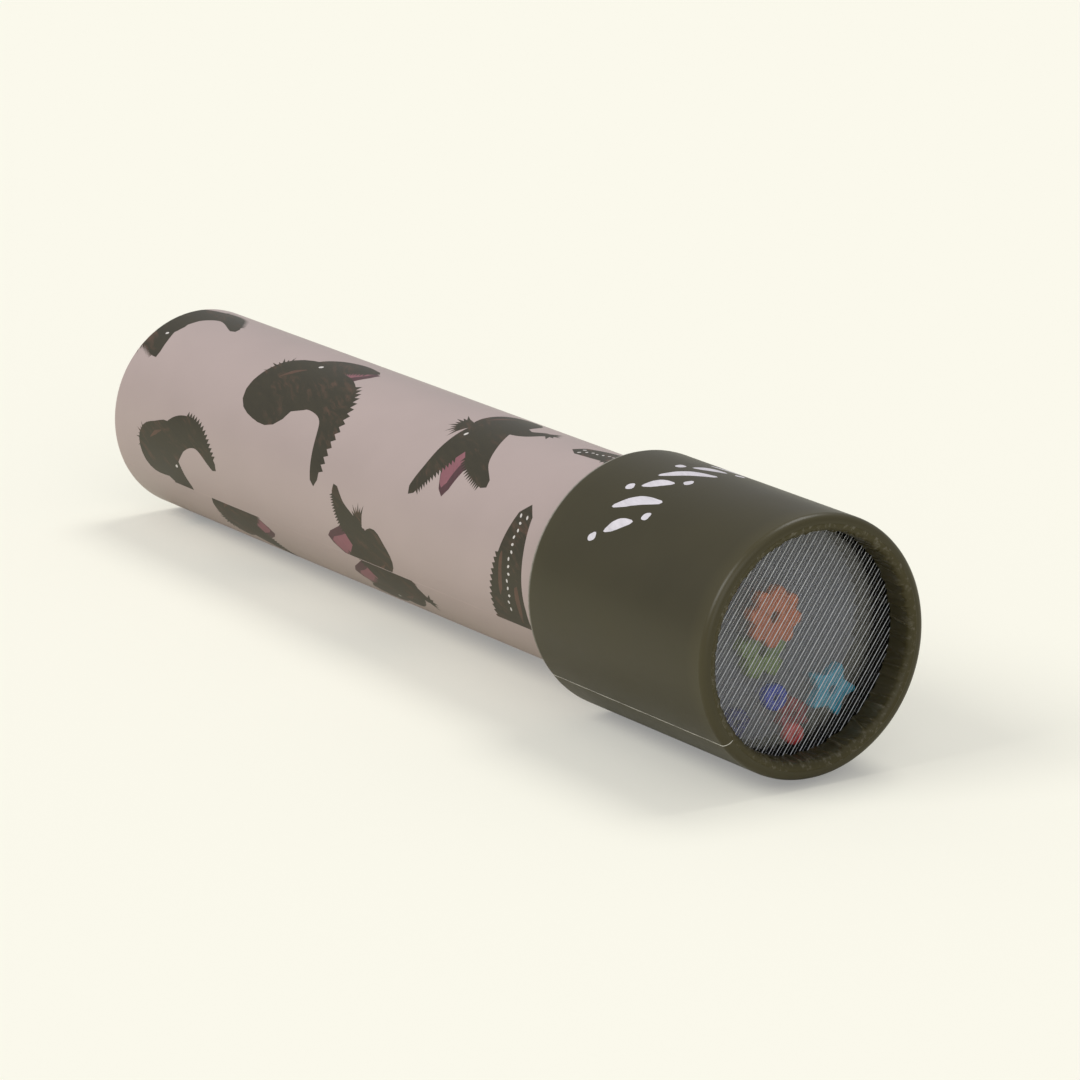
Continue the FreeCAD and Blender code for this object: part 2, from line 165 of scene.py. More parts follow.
class WindowSettings(bpy.types.PropertyGroup):
    rib_pitch: length("Rib pitch", "Distance from one rib of the window to the next", 1.515 * MM)
    rib_height: length("Rib height", "Height of the window's ribs", 0.1 * MM)
    rib_angle: angle("Rib slope", "Slope of the ribs, from +Y up towards +Z", 54)


class BeadSettings(bpy.types.PropertyGroup):
    orange: colour("Orange", "Colour of the orange flower", 208, 108, 56)
    green: colour("Green", "Colour of the green flower", 122, 146, 70)
    teal: colour("Teal", "Colour of the teal star", 48, 164, 184)
    red: colour("Red", "Colour of the small red flower", 168, 34, 52)
    blue: colour("Blue", "Colour of the blue bead", 18, 52, 170)
    navy: colour("Navy", "Colour of the navy bead", 22, 28, 110)
    coral: colour("Coral", "Colour of the coral bead", 214, 60, 58)


class StageSettings(bpy.types.PropertyGroup):
    backdrop: colour("Backdrop", "Colour of the floor and the backdrop", 251, 249, 236)
    azimuth: angle("Camera azimuth", "Camera's place round the object, from the front towards +X", 56.09)
    elevation: angle("Camera elevation", "Camera's height above the horizon", 15.29)
    lens: bpy.props.FloatProperty(
        name="Lens", description="Focal length", default=200.4, min=1.0,
        subtype="DISTANCE_CAMERA", unit="CAMERA",
    )


# ---------------------------------------------------------------- node trees


class Nodes:
    """Writes the nodes of a material or of a node group, one call for each node."""

    def __init__(self, tree):
        self.tree = tree

    def add(self, kind, inputs=None, **values):
        node = self.tree.nodes.new(kind)
        for name, value in values.items():
            setattr(node, name, value)
        for socket, value in (inputs or {}).items():
            self.feed(node.inputs[socket], value)
        return node

    def feed(self, socket, value):
        if isinstance(value, bpy.types.NodeSocket):
            self.tree.links.new(value, socket)
        else:
            socket.default_value = value

    def math(self, operation, first, second=0.0, third=0.0, clamp=False):
        node = self.add("ShaderNodeMath", operation=operation, use_clamp=clamp)
        for socket, value in zip(node.inputs, (first, second, third)):
            self.feed(socket, value)
        return node.outputs[0]

    def mix(self, factor, first, second):
        node = self.add("ShaderNodeMix", data_type="RGBA", clamp_factor=True)
        for socket, value in ((node.inputs[0], factor), (node.inputs[6], first), (node.inputs[7], second)):
            self.feed(socket, value if isinstance(value, (float, bpy.types.NodeSocket)) else (*value, 1.0))
        return node.outputs[2]

    def ramp(self, value, start, end, first=0.0, last=1.0):
        """A number that goes from first to last while value goes from start to end."""
        names = ("Value", "From Min", "From Max", "To Min", "To Max")
        node = self.add("ShaderNodeMapRange", dict(zip(names, (value, start, end, first, last))))
        return node.outputs[0]

    def noise(self, vector, scale, detail=3.0, roughness=0.5):
        inputs = {"Vector": vector, "Scale": scale, "Detail": detail, "Roughness": roughness}
        return self.add("ShaderNodeTexNoise", inputs).outputs["Fac"]

    def stretched(self, vector, x, y, z, turn=(0.0, 0.0, 0.0)):
        return self.add(
            "ShaderNodeMapping", {"Vector": vector, "Scale": (x, y, z), "Rotation": turn}
        ).outputs["Vector"]

    def scaled(self, given):
        """An effect's place, times its scale."""
        inputs = {0: given["Vector"], "Scale": given["Scale"]}
        return self.add("ShaderNodeVectorMath", inputs, operation="SCALE").outputs[0]

    def effect(self, name, **inputs):
        node = self.add("ShaderNodeGroup", node_tree=bpy.data.node_groups[name])
        for socket, value in inputs.items():
            self.feed(node.inputs[socket.replace("_", " ")], value)
        return node.outputs


def new_effect(name, inputs, outputs):
    """A shader node group. Returns its nodes, its inputs by name and its output node."""
    tree = bpy.data.node_groups.new(name, "ShaderNodeTree")
    for socket, (kind, value) in inputs.items():
        made = tree.interface.new_socket(socket, in_out="INPUT", socket_type=kind)
        if kind != "NodeSocketVector":
            made.default_value = value
    for socket, kind in outputs.items():
        tree.interface.new_socket(socket, in_out="OUTPUT", socket_type=kind)
    nodes = Nodes(tree)
    entry = nodes.add("NodeGroupInput")
    return nodes, entry.outputs, nodes.add("NodeGroupOutput")


NUMBER = "NodeSocketFloat"
PLACE = "NodeSocketVector"


def make_paper_fibre():
    """Fine pressed fibres and a soft cloudiness, as on coated wrapping paper."""
    inputs = {"Vector": (PLACE, None), "Scale": (NUMBER, 1.0), "Cloud Scale": (NUMBER, 60.0)}
    nodes, given, out = new_effect("paper_fibre", inputs, {"Height": NUMBER, "Cloud": NUMBER})
    place = nodes.scaled(given)
    along = nodes.noise(nodes.stretched(place, 900, 3600, 3600), 1.0, 4.0, 0.6)
    across = nodes.noise(nodes.stretched(place, 3200, 1000, 1000), 1.0, 3.0, 0.6)
    both = nodes.math("MULTIPLY_ADD", along, 0.6, nodes.math("MULTIPLY", across, 0.4))
    nodes.feed(out.inputs["Height"], both)
    nodes.feed(out.inputs["Cloud"], nodes.noise(place, given["Cloud Scale"], 3.0, 0.55))


def make_rubbed_edge():
    """Rubbed edges, as a piece's edge attribute broken up by noise; the attribute itself is also given out,
    for painted light.
    """
    inputs = {"Vector": (PLACE, None), "Amount": (NUMBER, 0.5), "Scale": (NUMBER, 900.0)}
    nodes, given, out = new_effect("rubbed_edge", inputs, {"Mask": NUMBER, "Stretch": NUMBER})
    edge = nodes.add("ShaderNodeAttribute", attribute_name="edge", attribute_type="GEOMETRY").outputs["Fac"]
    spots = nodes.noise(given["Vector"], given["Scale"], 4.0, 0.65)
    worn = nodes.ramp(edge, 0.45, 1.0)
    rubbed = nodes.math("MULTIPLY", worn, nodes.ramp(spots, 0.42, 0.72))
    nodes.feed(out.inputs["Mask"], nodes.math("MULTIPLY", rubbed, given["Amount"], clamp=True))
    # The edge attribute itself, for painting light on lips and edges.
    nodes.feed(out.inputs["Stretch"], edge)


def make_brush_strokes():
    """Long dry strokes that lie along X, with thin gaps between their bristles."""
    inputs = {"Vector": (PLACE, None), "Turn": (NUMBER, 0.0), "Bristle": (NUMBER, 900.0)}
    nodes, given, out = new_effect("brush_strokes", inputs, {"Strokes": NUMBER, "Patches": NUMBER})
    turned = nodes.add(
        "ShaderNodeVectorRotate",
        {"Vector": given["Vector"], "Axis": (0.0, 0.0, 1.0), "Angle": given["Turn"]},
        rotation_type="AXIS_ANGLE",
    ).outputs["Vector"]
    inputs = {"Vector": turned, "Scale": 110.0, "Detail": 2.0}
    bend = nodes.add("ShaderNodeTexNoise", inputs).outputs["Color"]
    bent = nodes.add(
        "ShaderNodeVectorMath", {0: bend, 1: (0.004, 0.004, 0.004), 2: turned}, operation="MULTIPLY_ADD"
    ).outputs[0]
    lines = nodes.stretched(bent, 0.16, 1.0, 1.0)
    nodes.feed(out.inputs["Strokes"], nodes.noise(lines, given["Bristle"], 4.0, 0.62))
    nodes.feed(out.inputs["Patches"], nodes.noise(nodes.stretched(bent, 0.6, 1.0, 1.0), 210.0, 3.0, 0.6))


def make_board_grain():
    """Grey board: pressed pulp flecks, and faint lines where its strip was wound."""
    inputs = {"Vector": (PLACE, None), "Fleck Scale": (NUMBER, 1400.0)}
    nodes, given, out = new_effect("board_grain", inputs, {"Fleck": NUMBER, "Height": NUMBER})
    fleck = nodes.noise(nodes.stretched(given["Vector"], 0.5, 1.0, 1.0), given["Fleck Scale"], 5.0, 0.7)
    wound = nodes.add(
        "ShaderNodeTexWave",
        {"Vector": given["Vector"], "Scale": 34.0, "Distortion": 1.5, "Detail": 2.0},
        bands_direction="X",
    ).outputs["Fac"]
    nodes.feed(out.inputs["Fleck"], fleck)
    nodes.feed(out.inputs["Height"], nodes.math("MULTIPLY_ADD", wound, 0.25, fleck))


def make_handling_marks():
    """Fine scratches and faint smears, as on plastic that beads have rubbed."""
    inputs = {"Vector": (PLACE, None), "Scale": (NUMBER, 1.0)}
    nodes, given, out = new_effect("handling_marks", inputs, {"Scratches": NUMBER, "Smears": NUMBER})
    place = nodes.scaled(given)
    masks = []
    for turn in (0.5, 2.1):
        lines = nodes.stretched(place, 2600, 2600, 90, (turn, 0.0, 0.0))
        masks.append(nodes.ramp(nodes.noise(lines, 1.0, 1.0), 0.66, 0.72))
    nodes.feed(out.inputs["Scratches"], nodes.math("MAXIMUM", masks[0], masks[1]))
    nodes.feed(out.inputs["Smears"], nodes.noise(place, 170.0, 4.0, 0.6))


# ---------------------------------------------------------------- materials


def new_material(name):
    material = bpy.data.materials.new(name)
    material.use_nodes = True
    material.node_tree.nodes.clear()
    nodes = Nodes(material.node_tree)
    shader = nodes.add("ShaderNodeBsdfPrincipled")
    out = nodes.add("ShaderNodeOutputMaterial", {"Surface": shader.outputs[0]})
    place = nodes.add("ShaderNodeTexCoord").outputs["Object"]
    return material, nodes, shader, out, place


def bump(nodes, shader, height, distance, strength=1.0, under=None):
    inputs = {"Height": height, "Distance": distance, "Strength": strength}
    if under is not None:
        inputs["Normal"] = under
    node = nodes.add("ShaderNodeBump", inputs)
    nodes.feed(shader.inputs["Normal"], node.outputs[0])
    return node.outputs[0]


def brighter(tone, factor):
    return tuple(min(1.0, value * factor) for value in tone)


def set_inputs(shader, values):
    for name, value in values.items():
        shader.inputs[name].default_value = value


def clouded(nodes, fibre, tone, darker, lighter):
    """A paper's tone, in faint clouds from a darker share of it to a lighter one."""
    clouds = nodes.ramp(fibre["Cloud"], 0.3, 0.7)
    return nodes.mix(clouds, brighter(tone, darker), brighter(tone, lighter))


def paper_material(name, tone, wear_tone, gloss, wear=0.6, cloud=0.1):
    """Coated paper: fibre under a satin coat, faint clouds in its colour, pale rubbed edges, and painted
    light from its edge attribute, most over a lip.
    """
    material, nodes, shader, _, place = new_material(name)
    fibre = nodes.effect("paper_fibre", Vector=place)
    shade = clouded(nodes, fibre, tone, 1 - cloud, 1 + cloud)
    edge = nodes.effect("rubbed_edge", Vector=place, Amount=wear)
    # Painted light: where the edge attribute is high, as over the lip, the paper is made lighter, as if
    # more light fell there.
    stretched = nodes.mix(edge["Stretch"], shade, brighter(tone, 1.75))
    nodes.feed(shader.inputs["Base Color"], nodes.mix(edge["Mask"], stretched, wear_tone))
    nodes.feed(shader.inputs["Roughness"], nodes.ramp(fibre["Cloud"], 0.2, 0.8, gloss - 0.05, gloss + 0.07))
    bump(nodes, shader, fibre["Height"], 0.03 * MM, 0.5)
    set_inputs(shader, SATIN_COAT)
    return material


def ink_material(name, tone, stroke_tone, strokes=1.0, turn=0.4, gloss=0.42):
    """Printed brushwork: strokes of a second colour over the first, on coated paper."""
    material, nodes, shader, _, place = new_material(name)
    flat = nodes.add("ShaderNodeUVMap", uv_map="sheet").outputs["UV"]
    brush = nodes.effect("brush_strokes", Vector=flat, Turn=turn)
    fibre = nodes.effect("paper_fibre", Vector=place)
    bristle = nodes.ramp(brush["Strokes"], 0.48, 0.66)
    patch = nodes.ramp(brush["Patches"], 0.48, 0.68)
    amount = nodes.math("MULTIPLY", nodes.math("MULTIPLY", bristle, patch), strokes, clamp=True)
    shade = nodes.mix(nodes.ramp(brush["Strokes"], 0.3, 0.75), brighter(tone, 0.86), brighter(tone, 1.14))
    nodes.feed(shader.inputs["Base Color"], nodes.mix(amount, shade, stroke_tone))
    nodes.feed(shader.inputs["Roughness"], nodes.ramp(brush["Strokes"], 0.2, 0.8, gloss, gloss + 0.1))
    bump(nodes, shader, fibre["Height"], 0.03 * MM, 0.5)
    set_inputs(shader, SATIN_COAT)
    return material


def pleated_material(name, tone, wear_tone):
    """The head's paper where it is gathered: creased, shinier on its folds, rubbed along them, with painted
    light near the lip and painted glints on the crests.
    """
    material, nodes, shader, _, place = new_material(name)
    fibre = nodes.effect("paper_fibre", Vector=place)
    edge = nodes.effect("rubbed_edge", Vector=place, Amount=0.75, Scale=1500.0)
    crease = nodes.noise(nodes.stretched(place, 260, 900, 900), 1.0, 5.0, 0.7)
    shade = clouded(nodes, fibre, tone, 0.86, 1.12)
    # Painted light: the edge attribute lightens the paper towards the lip.
    stretched = nodes.mix(edge["Stretch"], shade, brighter(tone, 2.2))
    # Painted glints: pale streaks along the creases, where the edge attribute is high, stand for light
    # caught on the fold crests.
    glint = nodes.math("MULTIPLY", nodes.ramp(crease, 0.52, 0.72, 0.0, 0.5), edge["Stretch"], clamp=True)
    folded = nodes.mix(glint, stretched, wear_tone)
    nodes.feed(shader.inputs["Base Color"], nodes.mix(edge["Mask"], folded, wear_tone))
    nodes.feed(shader.inputs["Roughness"], nodes.ramp(crease, 0.3, 0.7, 0.3, 0.5))
    creased = bump(nodes, shader, crease, 0.08 * MM, 0.5)
    bump(nodes, shader, fibre["Height"], 0.03 * MM, 0.4, under=creased)
    set_inputs(shader, {**SATIN_COAT, "Specular IOR Level": 0.22, "Coat Weight": 0.1})
    return material


def card_material(name, tone, gloss=0.85, fleck=0.18, shine=0.2):
    material, nodes, shader, _, place = new_material(name)
    grain = nodes.effect("board_grain", Vector=place)
    dark, light = brighter(tone, 1 - fleck), brighter(tone, 1 + fleck)
    nodes.feed(shader.inputs["Base Color"], nodes.mix(nodes.ramp(grain["Fleck"], 0.35, 0.65), dark, light))
    nodes.feed(shader.inputs["Roughness"], nodes.ramp(grain["Fleck"], 0.2, 0.8, gloss - 0.08, gloss + 0.08))
    bump(nodes, shader, grain["Height"], 0.06 * MM, 0.6)
    shader.inputs["Specular IOR Level"].default_value = shine
    return material


def felt_material(name, tone):
    material, nodes, shader, _, place = new_material(name)
    tangle = nodes.noise(place, 2400.0, 6.0, 0.75)
    nodes.feed(shader.inputs["Base Color"], nodes.mix(tangle, brighter(tone, 0.6), brighter(tone, 1.6)))
    set_inputs(shader, {"Roughness": 0.95, "Sheen Weight": 0.4})
    bump(nodes, shader, tangle, 0.2 * MM, 0.9)
    return material


def mirror_material(name):
    material, nodes, shader, _, place = new_material(name)
    marks = nodes.effect("handling_marks", Vector=place)
    haze = nodes.ramp(marks["Smears"], 0.4, 0.8)
    nodes.feed(shader.inputs["Base Color"], nodes.mix(haze, (0.86, 0.88, 0.89), (0.76, 0.78, 0.79)))
    shader.inputs["Metallic"].default_value = 1.0
    nodes.feed(shader.inputs["Roughness"], nodes.math("MULTIPLY_ADD", marks["Scratches"], 0.2, 0.03))
    return material


def clear_material(name, tone, smooth, rough, haze=0.0):
    """Clear sheet that lets light through to what lies behind it; haze is the share that scatters."""
    material, nodes, shader, out, place = new_material(name)
    marks = nodes.effect("handling_marks", Vector=place)
    smears = nodes.ramp(marks["Smears"], 0.3, 0.8)
    nodes.feed(shader.inputs["Base Color"], nodes.mix(smears, tone, brighter(tone, 0.94)))
    nodes.feed(shader.inputs["Roughness"], nodes.math("MULTIPLY_ADD", marks["Scratches"], rough, smooth))
    set_inputs(shader, {
        "Transmission Weight": 1.0 - haze, "IOR": ACRYLIC_IOR, "Specular IOR Level": 0.28,
    })
    open_way = nodes.add("ShaderNodeBsdfTransparent", {"Color": (*brighter(tone, 0.94), 1.0)})
    shadow = nodes.add("ShaderNodeLightPath").outputs["Is Shadow Ray"]
    passed = nodes.add("ShaderNodeMixShader", {0: shadow, 1: shader.outputs[0], 2: open_way.outputs[0]})
    nodes.feed(out.inputs["Surface"], passed.outputs[0])
    return material


def bead_material(name, tone):
    """Translucent moulded plastic with swirls in its colour and fine rub marks."""
    material, nodes, shader, _, place = new_material(name)
    marks = nodes.effect("handling_marks", Vector=place)
    swirl = nodes.noise(place, 420.0, 4.0, 0.55)
    rubbed = nodes.effect("rubbed_edge", Vector=place, Amount=0.35)["Mask"]
    shade = nodes.mix(nodes.ramp(swirl, 0.3, 0.7), brighter(tone, 0.82), brighter(tone, 1.12))
    nodes.feed(shader.inputs["Base Color"], nodes.mix(rubbed, shade, brighter(tone, 1.6)))
    nodes.feed(shader.inputs["Roughness"], nodes.math("MULTIPLY_ADD", marks["Scratches"], 0.25, 0.16))
    set_inputs(shader, {
        "Subsurface Weight": 0.5, "Subsurface Radius": (1.0, 1.0, 1.0),
        "Subsurface Scale": 1.5 * MM, "Coat Weight": 0.3,
    })
    bump(nodes, shader, marks["Scratches"], 0.02 * MM, 0.3)
    return material


# ---------------------------------------------------------------- meshes


def new_piece(name, mesh, body, slot, *replaced):
    piece = bpy.data.objects.new(name, mesh)
    bpy.context.scene.collection.objects.link(piece)
    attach(piece, body)
    if replaced:
        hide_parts(*replaced)
    return piece


def on_axis(x, radius, turn):
    """A point at a station, a distance from the optical axis and an angle from the top, towards +Y."""
    return (x, radius * math.sin(turn), AXIS_Z + radius * math.cos(turn))


class Profile:
    """The line that a turned paper follows: corners as (station, radius, rounding), joined by arcs."""

    def __init__(self, corners, arc_steps=6, longest=4 * MM):
        points, normals = [], []
        for i, (x, r, rounding) in enumerate(corners):
            here = np.array((x, r))
            if rounding == 0:
                other = np.array(corners[1][:2]) - here if i == 0 else here - np.array(corners[i - 1][:2])
                points.append(here)
                normals.append(self.left(other))
                continue
            before = self.unit(np.array(corners[i - 1][:2]) - here)
            after = self.unit(np.array(corners[i + 1][:2]) - here)
            half = math.acos(float(np.clip(before @ after, -1, 1))) / 2
            centre = here + self.unit(before + after) * rounding / math.sin(half)
            start = here + before * rounding / math.tan(half)
            end = here + after * rounding / math.tan(half)
            outward = 1.0 if self.left(-before) @ (start - centre) > 0 else -1.0
            for step in range(arc_steps + 1):
                share = step / arc_steps
                spoke = self.unit((start - centre) * (1 - share) + (end - centre) * share)
                points.append(centre + spoke * rounding)
                normals.append(spoke * outward)
        self.points, self.normals = np.array(points), np.array(normals)
        steps = np.linalg.norm(np.diff(self.points, axis=0), axis=1)
        self.knots = np.concatenate([[0.0], np.cumsum(steps)])
        self.length = float(self.knots[-1])
        self.rows = self.spread(longest)

    @staticmethod
    def unit(vector):
        return vector / np.linalg.norm(vector)

    @classmethod
    def left(cls, vector):
        return cls.unit(np.array((-vector[1], vector[0])))

    def spread(self, longest):
        """The knots, with more between any two that are further apart than the longest step."""
        rows = [0.0]
        for a, b in zip(self.knots[:-1], self.knots[1:]):
            count = max(1, math.ceil((b - a) / longest - 1e-6))
            rows.extend(a + (b - a) * (k + 1) / count for k in range(count))
        return rows

    def at(self, u):
        """Station, radius and the two parts of the outward normal, for any number of u at once."""
        place = [np.interp(u, self.knots, self.points[:, k]) for k in (0, 1)]
        normal = [np.interp(u, self.knots, self.normals[:, k]) for k in (0, 1)]
        size = np.hypot(*normal)
        return place[0], place[1], normal[0] / size, normal[1] / size

    def u_at(self, x, first_from=0.0):
        """How far along the line a station comes, after a given distance."""
        for a, b, p, q in zip(self.knots[:-1], self.knots[1:], self.points[:-1, 0], self.points[1:, 0]):
            if b > first_from and min(p, q) <= x <= max(p, q) and p != q:
                return a + (b - a) * (x - p) / (q - p)
        raise ValueError(f"the profile never comes to {x}")


def inside(points, outline):
    """Which points lie inside a closed outline, by counting its crossings."""
    x, y = points[:, 0], points[:, 1]
    held = np.zeros(len(points), bool)
    near = (x >= outline[:, 0].min()) & (x <= outline[:, 0].max())
    near &= (y >= outline[:, 1].min()) & (y <= outline[:, 1].max())
    x, y = x[near], y[near]
    odd = np.zeros(len(x), bool)
    for (ax, ay), (bx, by) in zip(outline, np.roll(outline, -1, axis=0)):
        if ay == by:
            continue
        crosses = (ay > y) != (by > y)
        odd ^= crosses & (x < (bx - ax) * (y - ay) / (by - ay) + ax)
    held[near] = odd
    return held


def finely(outline, longest):
    """The same outline with more points, so that no step along it is longer than this."""
    made = []
    for here, after in zip(outline, np.roll(outline, -1, axis=0)):
        count = max(1, math.ceil(math.hypot(*(after - here)) / longest))
        made += [here + (after - here) * k / count for k in range(count)]
    return made


def cut_sheet(rows, columns, shapes):
    """Triangles that fill a sheet of paper, cut along its grid's rim and along each printed outline.

    shapes are (material index, outline) pairs, the last on top. Returns points, triangles and the
    material index of each triangle.
    """
    points = [(u, v) for v in columns for u in rows]
    across, up = len(rows), len(columns)
    edges = [(i, i + 1) for k in (0, up - 1) for i in range(k * across, k * across + across - 1)]
    edges += [(i, i + across) for k in (0, across - 1) for i in range(k, (up - 1) * across + k, across)]
    for _, outline in shapes:
        first = len(points)
        outline = finely(outline, PRINT_STEP)
        points.extend(map(tuple, outline))
        edges += [(first + i, first + (i + 1) % len(outline)) for i in range(len(outline))]
    made = delaunay_2d_cdt([Vector(p) for p in points], edges, [], 0, 1e-7, False)
    flat = np.array([tuple(p) for p in made[0]])
    triangles = np.array([t for t in made[2] if len(t) == 3])
    middles = flat[triangles].mean(axis=1)
    rim = (rows[0], rows[-1], columns[0], columns[-1])
    kept = (middles[:, 0] > rim[0]) & (middles[:, 0] < rim[1])
    kept &= (middles[:, 1] > rim[2]) & (middles[:, 1] < rim[3])
    triangles, middles = triangles[kept], middles[kept]
    slots = np.zeros(len(triangles), int)
    for slot, outline in shapes:
        slots[inside(middles, np.asarray(outline))] = slot
    return flat, triangles, slots


def rim_edges(triangles):
    """The directed edges that only one triangle uses."""
    seen = {}
    for t in triangles:
        for a, b in ((t[0], t[1]), (t[1], t[2]), (t[2], t[0])):
            seen[(a, b)] = True
    return [(a, b) for a, b in seen if (b, a) not in seen]


def rolled_sheet(name, profile, seam, lap, shapes, materials, paper, radius, edge_of):
    """A paper cut flat, with its printed shapes, and rolled round the optical axis.

    The sheet starts under its own end at the seam, and its end, raised by the seam's step, lies on top.
    edge_of gives how rubbed a point is, from its u and v; the same value sets how much painted light it
    gets.
    """
    turns = 2 * math.pi * radius
    columns = list(np.linspace(0, turns, 181))
    flat, triangles, slots = cut_sheet(profile.rows, columns, shapes)
    used = np.unique(triangles)
    flat, triangles = flat[used], np.searchsorted(used, triangles)
    u, v = flat[:, 0], flat[:, 1]
    x, r, nx, nr = profile.at(u)
    lift = np.clip((v - (turns - 2 * lap)) / lap, 0, 1) * paper.seam_step
    theta = seam + v / radius
    layers = []
    for depth in (0.0, paper.thickness):
        here_x, here_r = x + nx * (lift - depth), r + nr * (lift - depth)
        layers.append(np.stack([here_x, here_r * np.sin(theta), AXIS_Z + here_r * np.cos(theta)], axis=1))
    direction = np.stack([nx, nr * np.sin(theta), nr * np.cos(theta)], axis=1)
    count = len(flat)
    vertices = np.concatenate(layers)
    first, second, third = (vertices[corner] for corner in triangles[0])
    if np.cross(second - first, third - first) @ direction[triangles[0][0]] < 0:
        triangles = triangles[:, ::-1]
    rim = rim_edges(triangles)
    faces = [tuple(t) for t in triangles]
    normals = [direction[i] for t in triangles for i in t]
    faces += [(t[2] + count, t[1] + count, t[0] + count) for t in triangles]
    normals += [-direction[i] for t in triangles for i in (t[2], t[1], t[0])]
    for a, b in rim:
        faces.append((b, a, a + count, b + count))
        side = np.cross(vertices[a] - vertices[b], vertices[a + count] - vertices[b])
        normals += [side / max(np.linalg.norm(side), 1e-12)] * 4
    mesh = bpy.data.meshes.new(name)
    mesh.from_pydata(vertices.tolist(), [], faces)
    core = len(materials) - 1
    marks = list(slots) + [0] * len(triangles) + [core] * len(rim)
    for material in materials:
        mesh.materials.append(material)
    mesh.polygons.foreach_set("material_index", np.array(marks, np.int32))
    mesh.polygons.foreach_set("use_smooth", np.ones(len(faces), bool))
    sheet = mesh.uv_layers.new(name="sheet")
    both = np.concatenate([flat, flat])
    corners = np.array([i for face in faces for i in face])
    sheet.data.foreach_set("uv", both[corners].astype(np.float32).ravel())
    store_edge(mesh, np.tile(edge_of(u, v), 2))
    mesh.normals_split_custom_set([tuple(n) for n in normals])
    return mesh


def store_edge(mesh, values):
    """Keeps how rubbed each point is, from 0 to 1, for the rubbed_edge effect, which also paints light from
    it.
    """
    attribute = mesh.attributes.new("edge", "FLOAT", "POINT")
    attribute.data.foreach_set("value", np.asarray(values, np.float32))


def ring_mesh(name, rings):
    """Quads between rings of points, and from the last ring to the first one."""
    count = len(rings[0])
    vertices = [tuple(p) for ring in rings for p in ring]
    faces = []
    for k in range(len(rings)):
        a, b = k * count, (k + 1) % len(rings) * count
        faces += [(a + i, a + (i + 1) % count, b + (i + 1) % count, b + i) for i in range(count)]
    mesh = bpy.data.meshes.new(name)
    mesh.from_pydata(vertices, [], faces)
    mesh.polygons.foreach_set("use_smooth", np.ones(len(faces), bool))
    return mesh


# ---------------------------------------------------------------- printed shapes, drawn flat in millimetres


def smooth_route(points, count):
    """A smooth line through a few points, as count evenly spread places and their directions."""
    points = np.asarray(points, float)
    padded = np.vstack([2 * points[0] - points[1], points, 2 * points[-1] - points[-2]])
    places = []
    for share in np.linspace(0, len(points) - 1 - 1e-9, count):
        k, t = int(share), share - int(share)
        a, b, c, d = padded[k : k + 4]
        bend, twist = 2 * a - 5 * b + 4 * c - d, 3 * b - a - 3 * c + d
        places.append(0.5 * (2 * b + (c - a) * t + bend * t**2 + twist * t**3))
    places = np.array(places)
    along = np.gradient(places, axis=0)
    return places, along / np.linalg.norm(along, axis=1)[:, None]


def limb(points, widths, teeth=(), tooth=0.0, count=28, side=1):
    """The outline of a curved limb: half widths along a route, a round tip, and teeth along one side."""
    places, along = smooth_route(points, count)
    across = np.stack([-along[:, 1], along[:, 0]], axis=1) * side
    half = np.interp(np.linspace(0, 1, count), np.linspace(0, 1, len(widths)), widths)
    toothed, plain = [], []
    for k in range(count):
        share = k / (count - 1)
        toothed.append(places[k] + across[k] * half[k])
        if len(teeth) and teeth[0] <= share < teeth[1] and k < count - 1:
            between = (places[k] + places[k + 1]) / 2 + across[k] * (half[k] + tooth)
            toothed.append(between + along[k] * tooth * 0.4)
        plain.append(places[k] - across[k] * half[k])
    tip = [places[-1] + along[-1] * half[-1]]
    back = [places[0] - along[0] * half[0]]
    return np.array(toothed + tip + plain[::-1] + back)


def blot(centre, long, short, turn, ripple=0.0, count=26, seed=0):
    """A round patch with a slightly uneven rim."""
    draw = random.Random(seed)
    phases = [draw.uniform(0, 2 * math.pi) for _ in range(3)]
    outline = []
    for k in range(count):
        a = 2 * math.pi * k / count
        swell = 1 + ripple * sum(math.sin((n + 2) * a + phases[n]) for n in range(3)) / 2
        p, q = long * swell * math.cos(a), short * swell * math.sin(a)
        outline.append((p * math.cos(turn) - q * math.sin(turn), p * math.sin(turn) + q * math.cos(turn)))
    return np.array(outline) + np.asarray(centre, float)


def tuft(centre, reach, turn, spread, count, thin=0.34):
    """Pointed tufts that fan out from a centre, as a raised crest or a small clawed foot."""
    outline = []
    for k in range(count):
        a = turn + spread * (k / max(1, count - 1) - 0.5)
        half = spread / max(1, count - 1) / 2
        tip = reach * (1.0 if k % 2 == 0 else 0.82)
        outline.append((reach * thin * math.cos(a - half), reach * thin * math.sin(a - half)))
        outline.append((tip * math.cos(a), tip * math.sin(a)))
    outline.append((reach * thin * math.cos(a + half), reach * thin * math.sin(a + half)))
    outline.append((-0.4 * reach * math.cos(turn), -0.4 * reach * math.sin(turn)))
    return np.array(outline) + np.asarray(centre, float)


INK, BROWN, MOUTH, THROAT, TOOTH, MARK = 1, 2, 3, 4, 5, 1


def polar(turn, reach):
    a = math.radians(turn)
    return (reach * math.cos(a), reach * math.sin(a))


def jaw(turn, hook, long, thick, side):
    """One jaw from the middle of the head, curving by hook degrees towards its toothed tip."""
    route = [polar(turn * 0.4, 0.15), polar(turn, long * 0.42), polar(turn + hook * 0.4, long * 0.72)]
    route.append(polar(turn + hook, long))
    widths = [0.5 * thick, 0.44 * thick, 0.34 * thick, 0.22 * thick, 0.11]
    return limb(route, widths, (0.42, 0.95), 0.1, side=side)


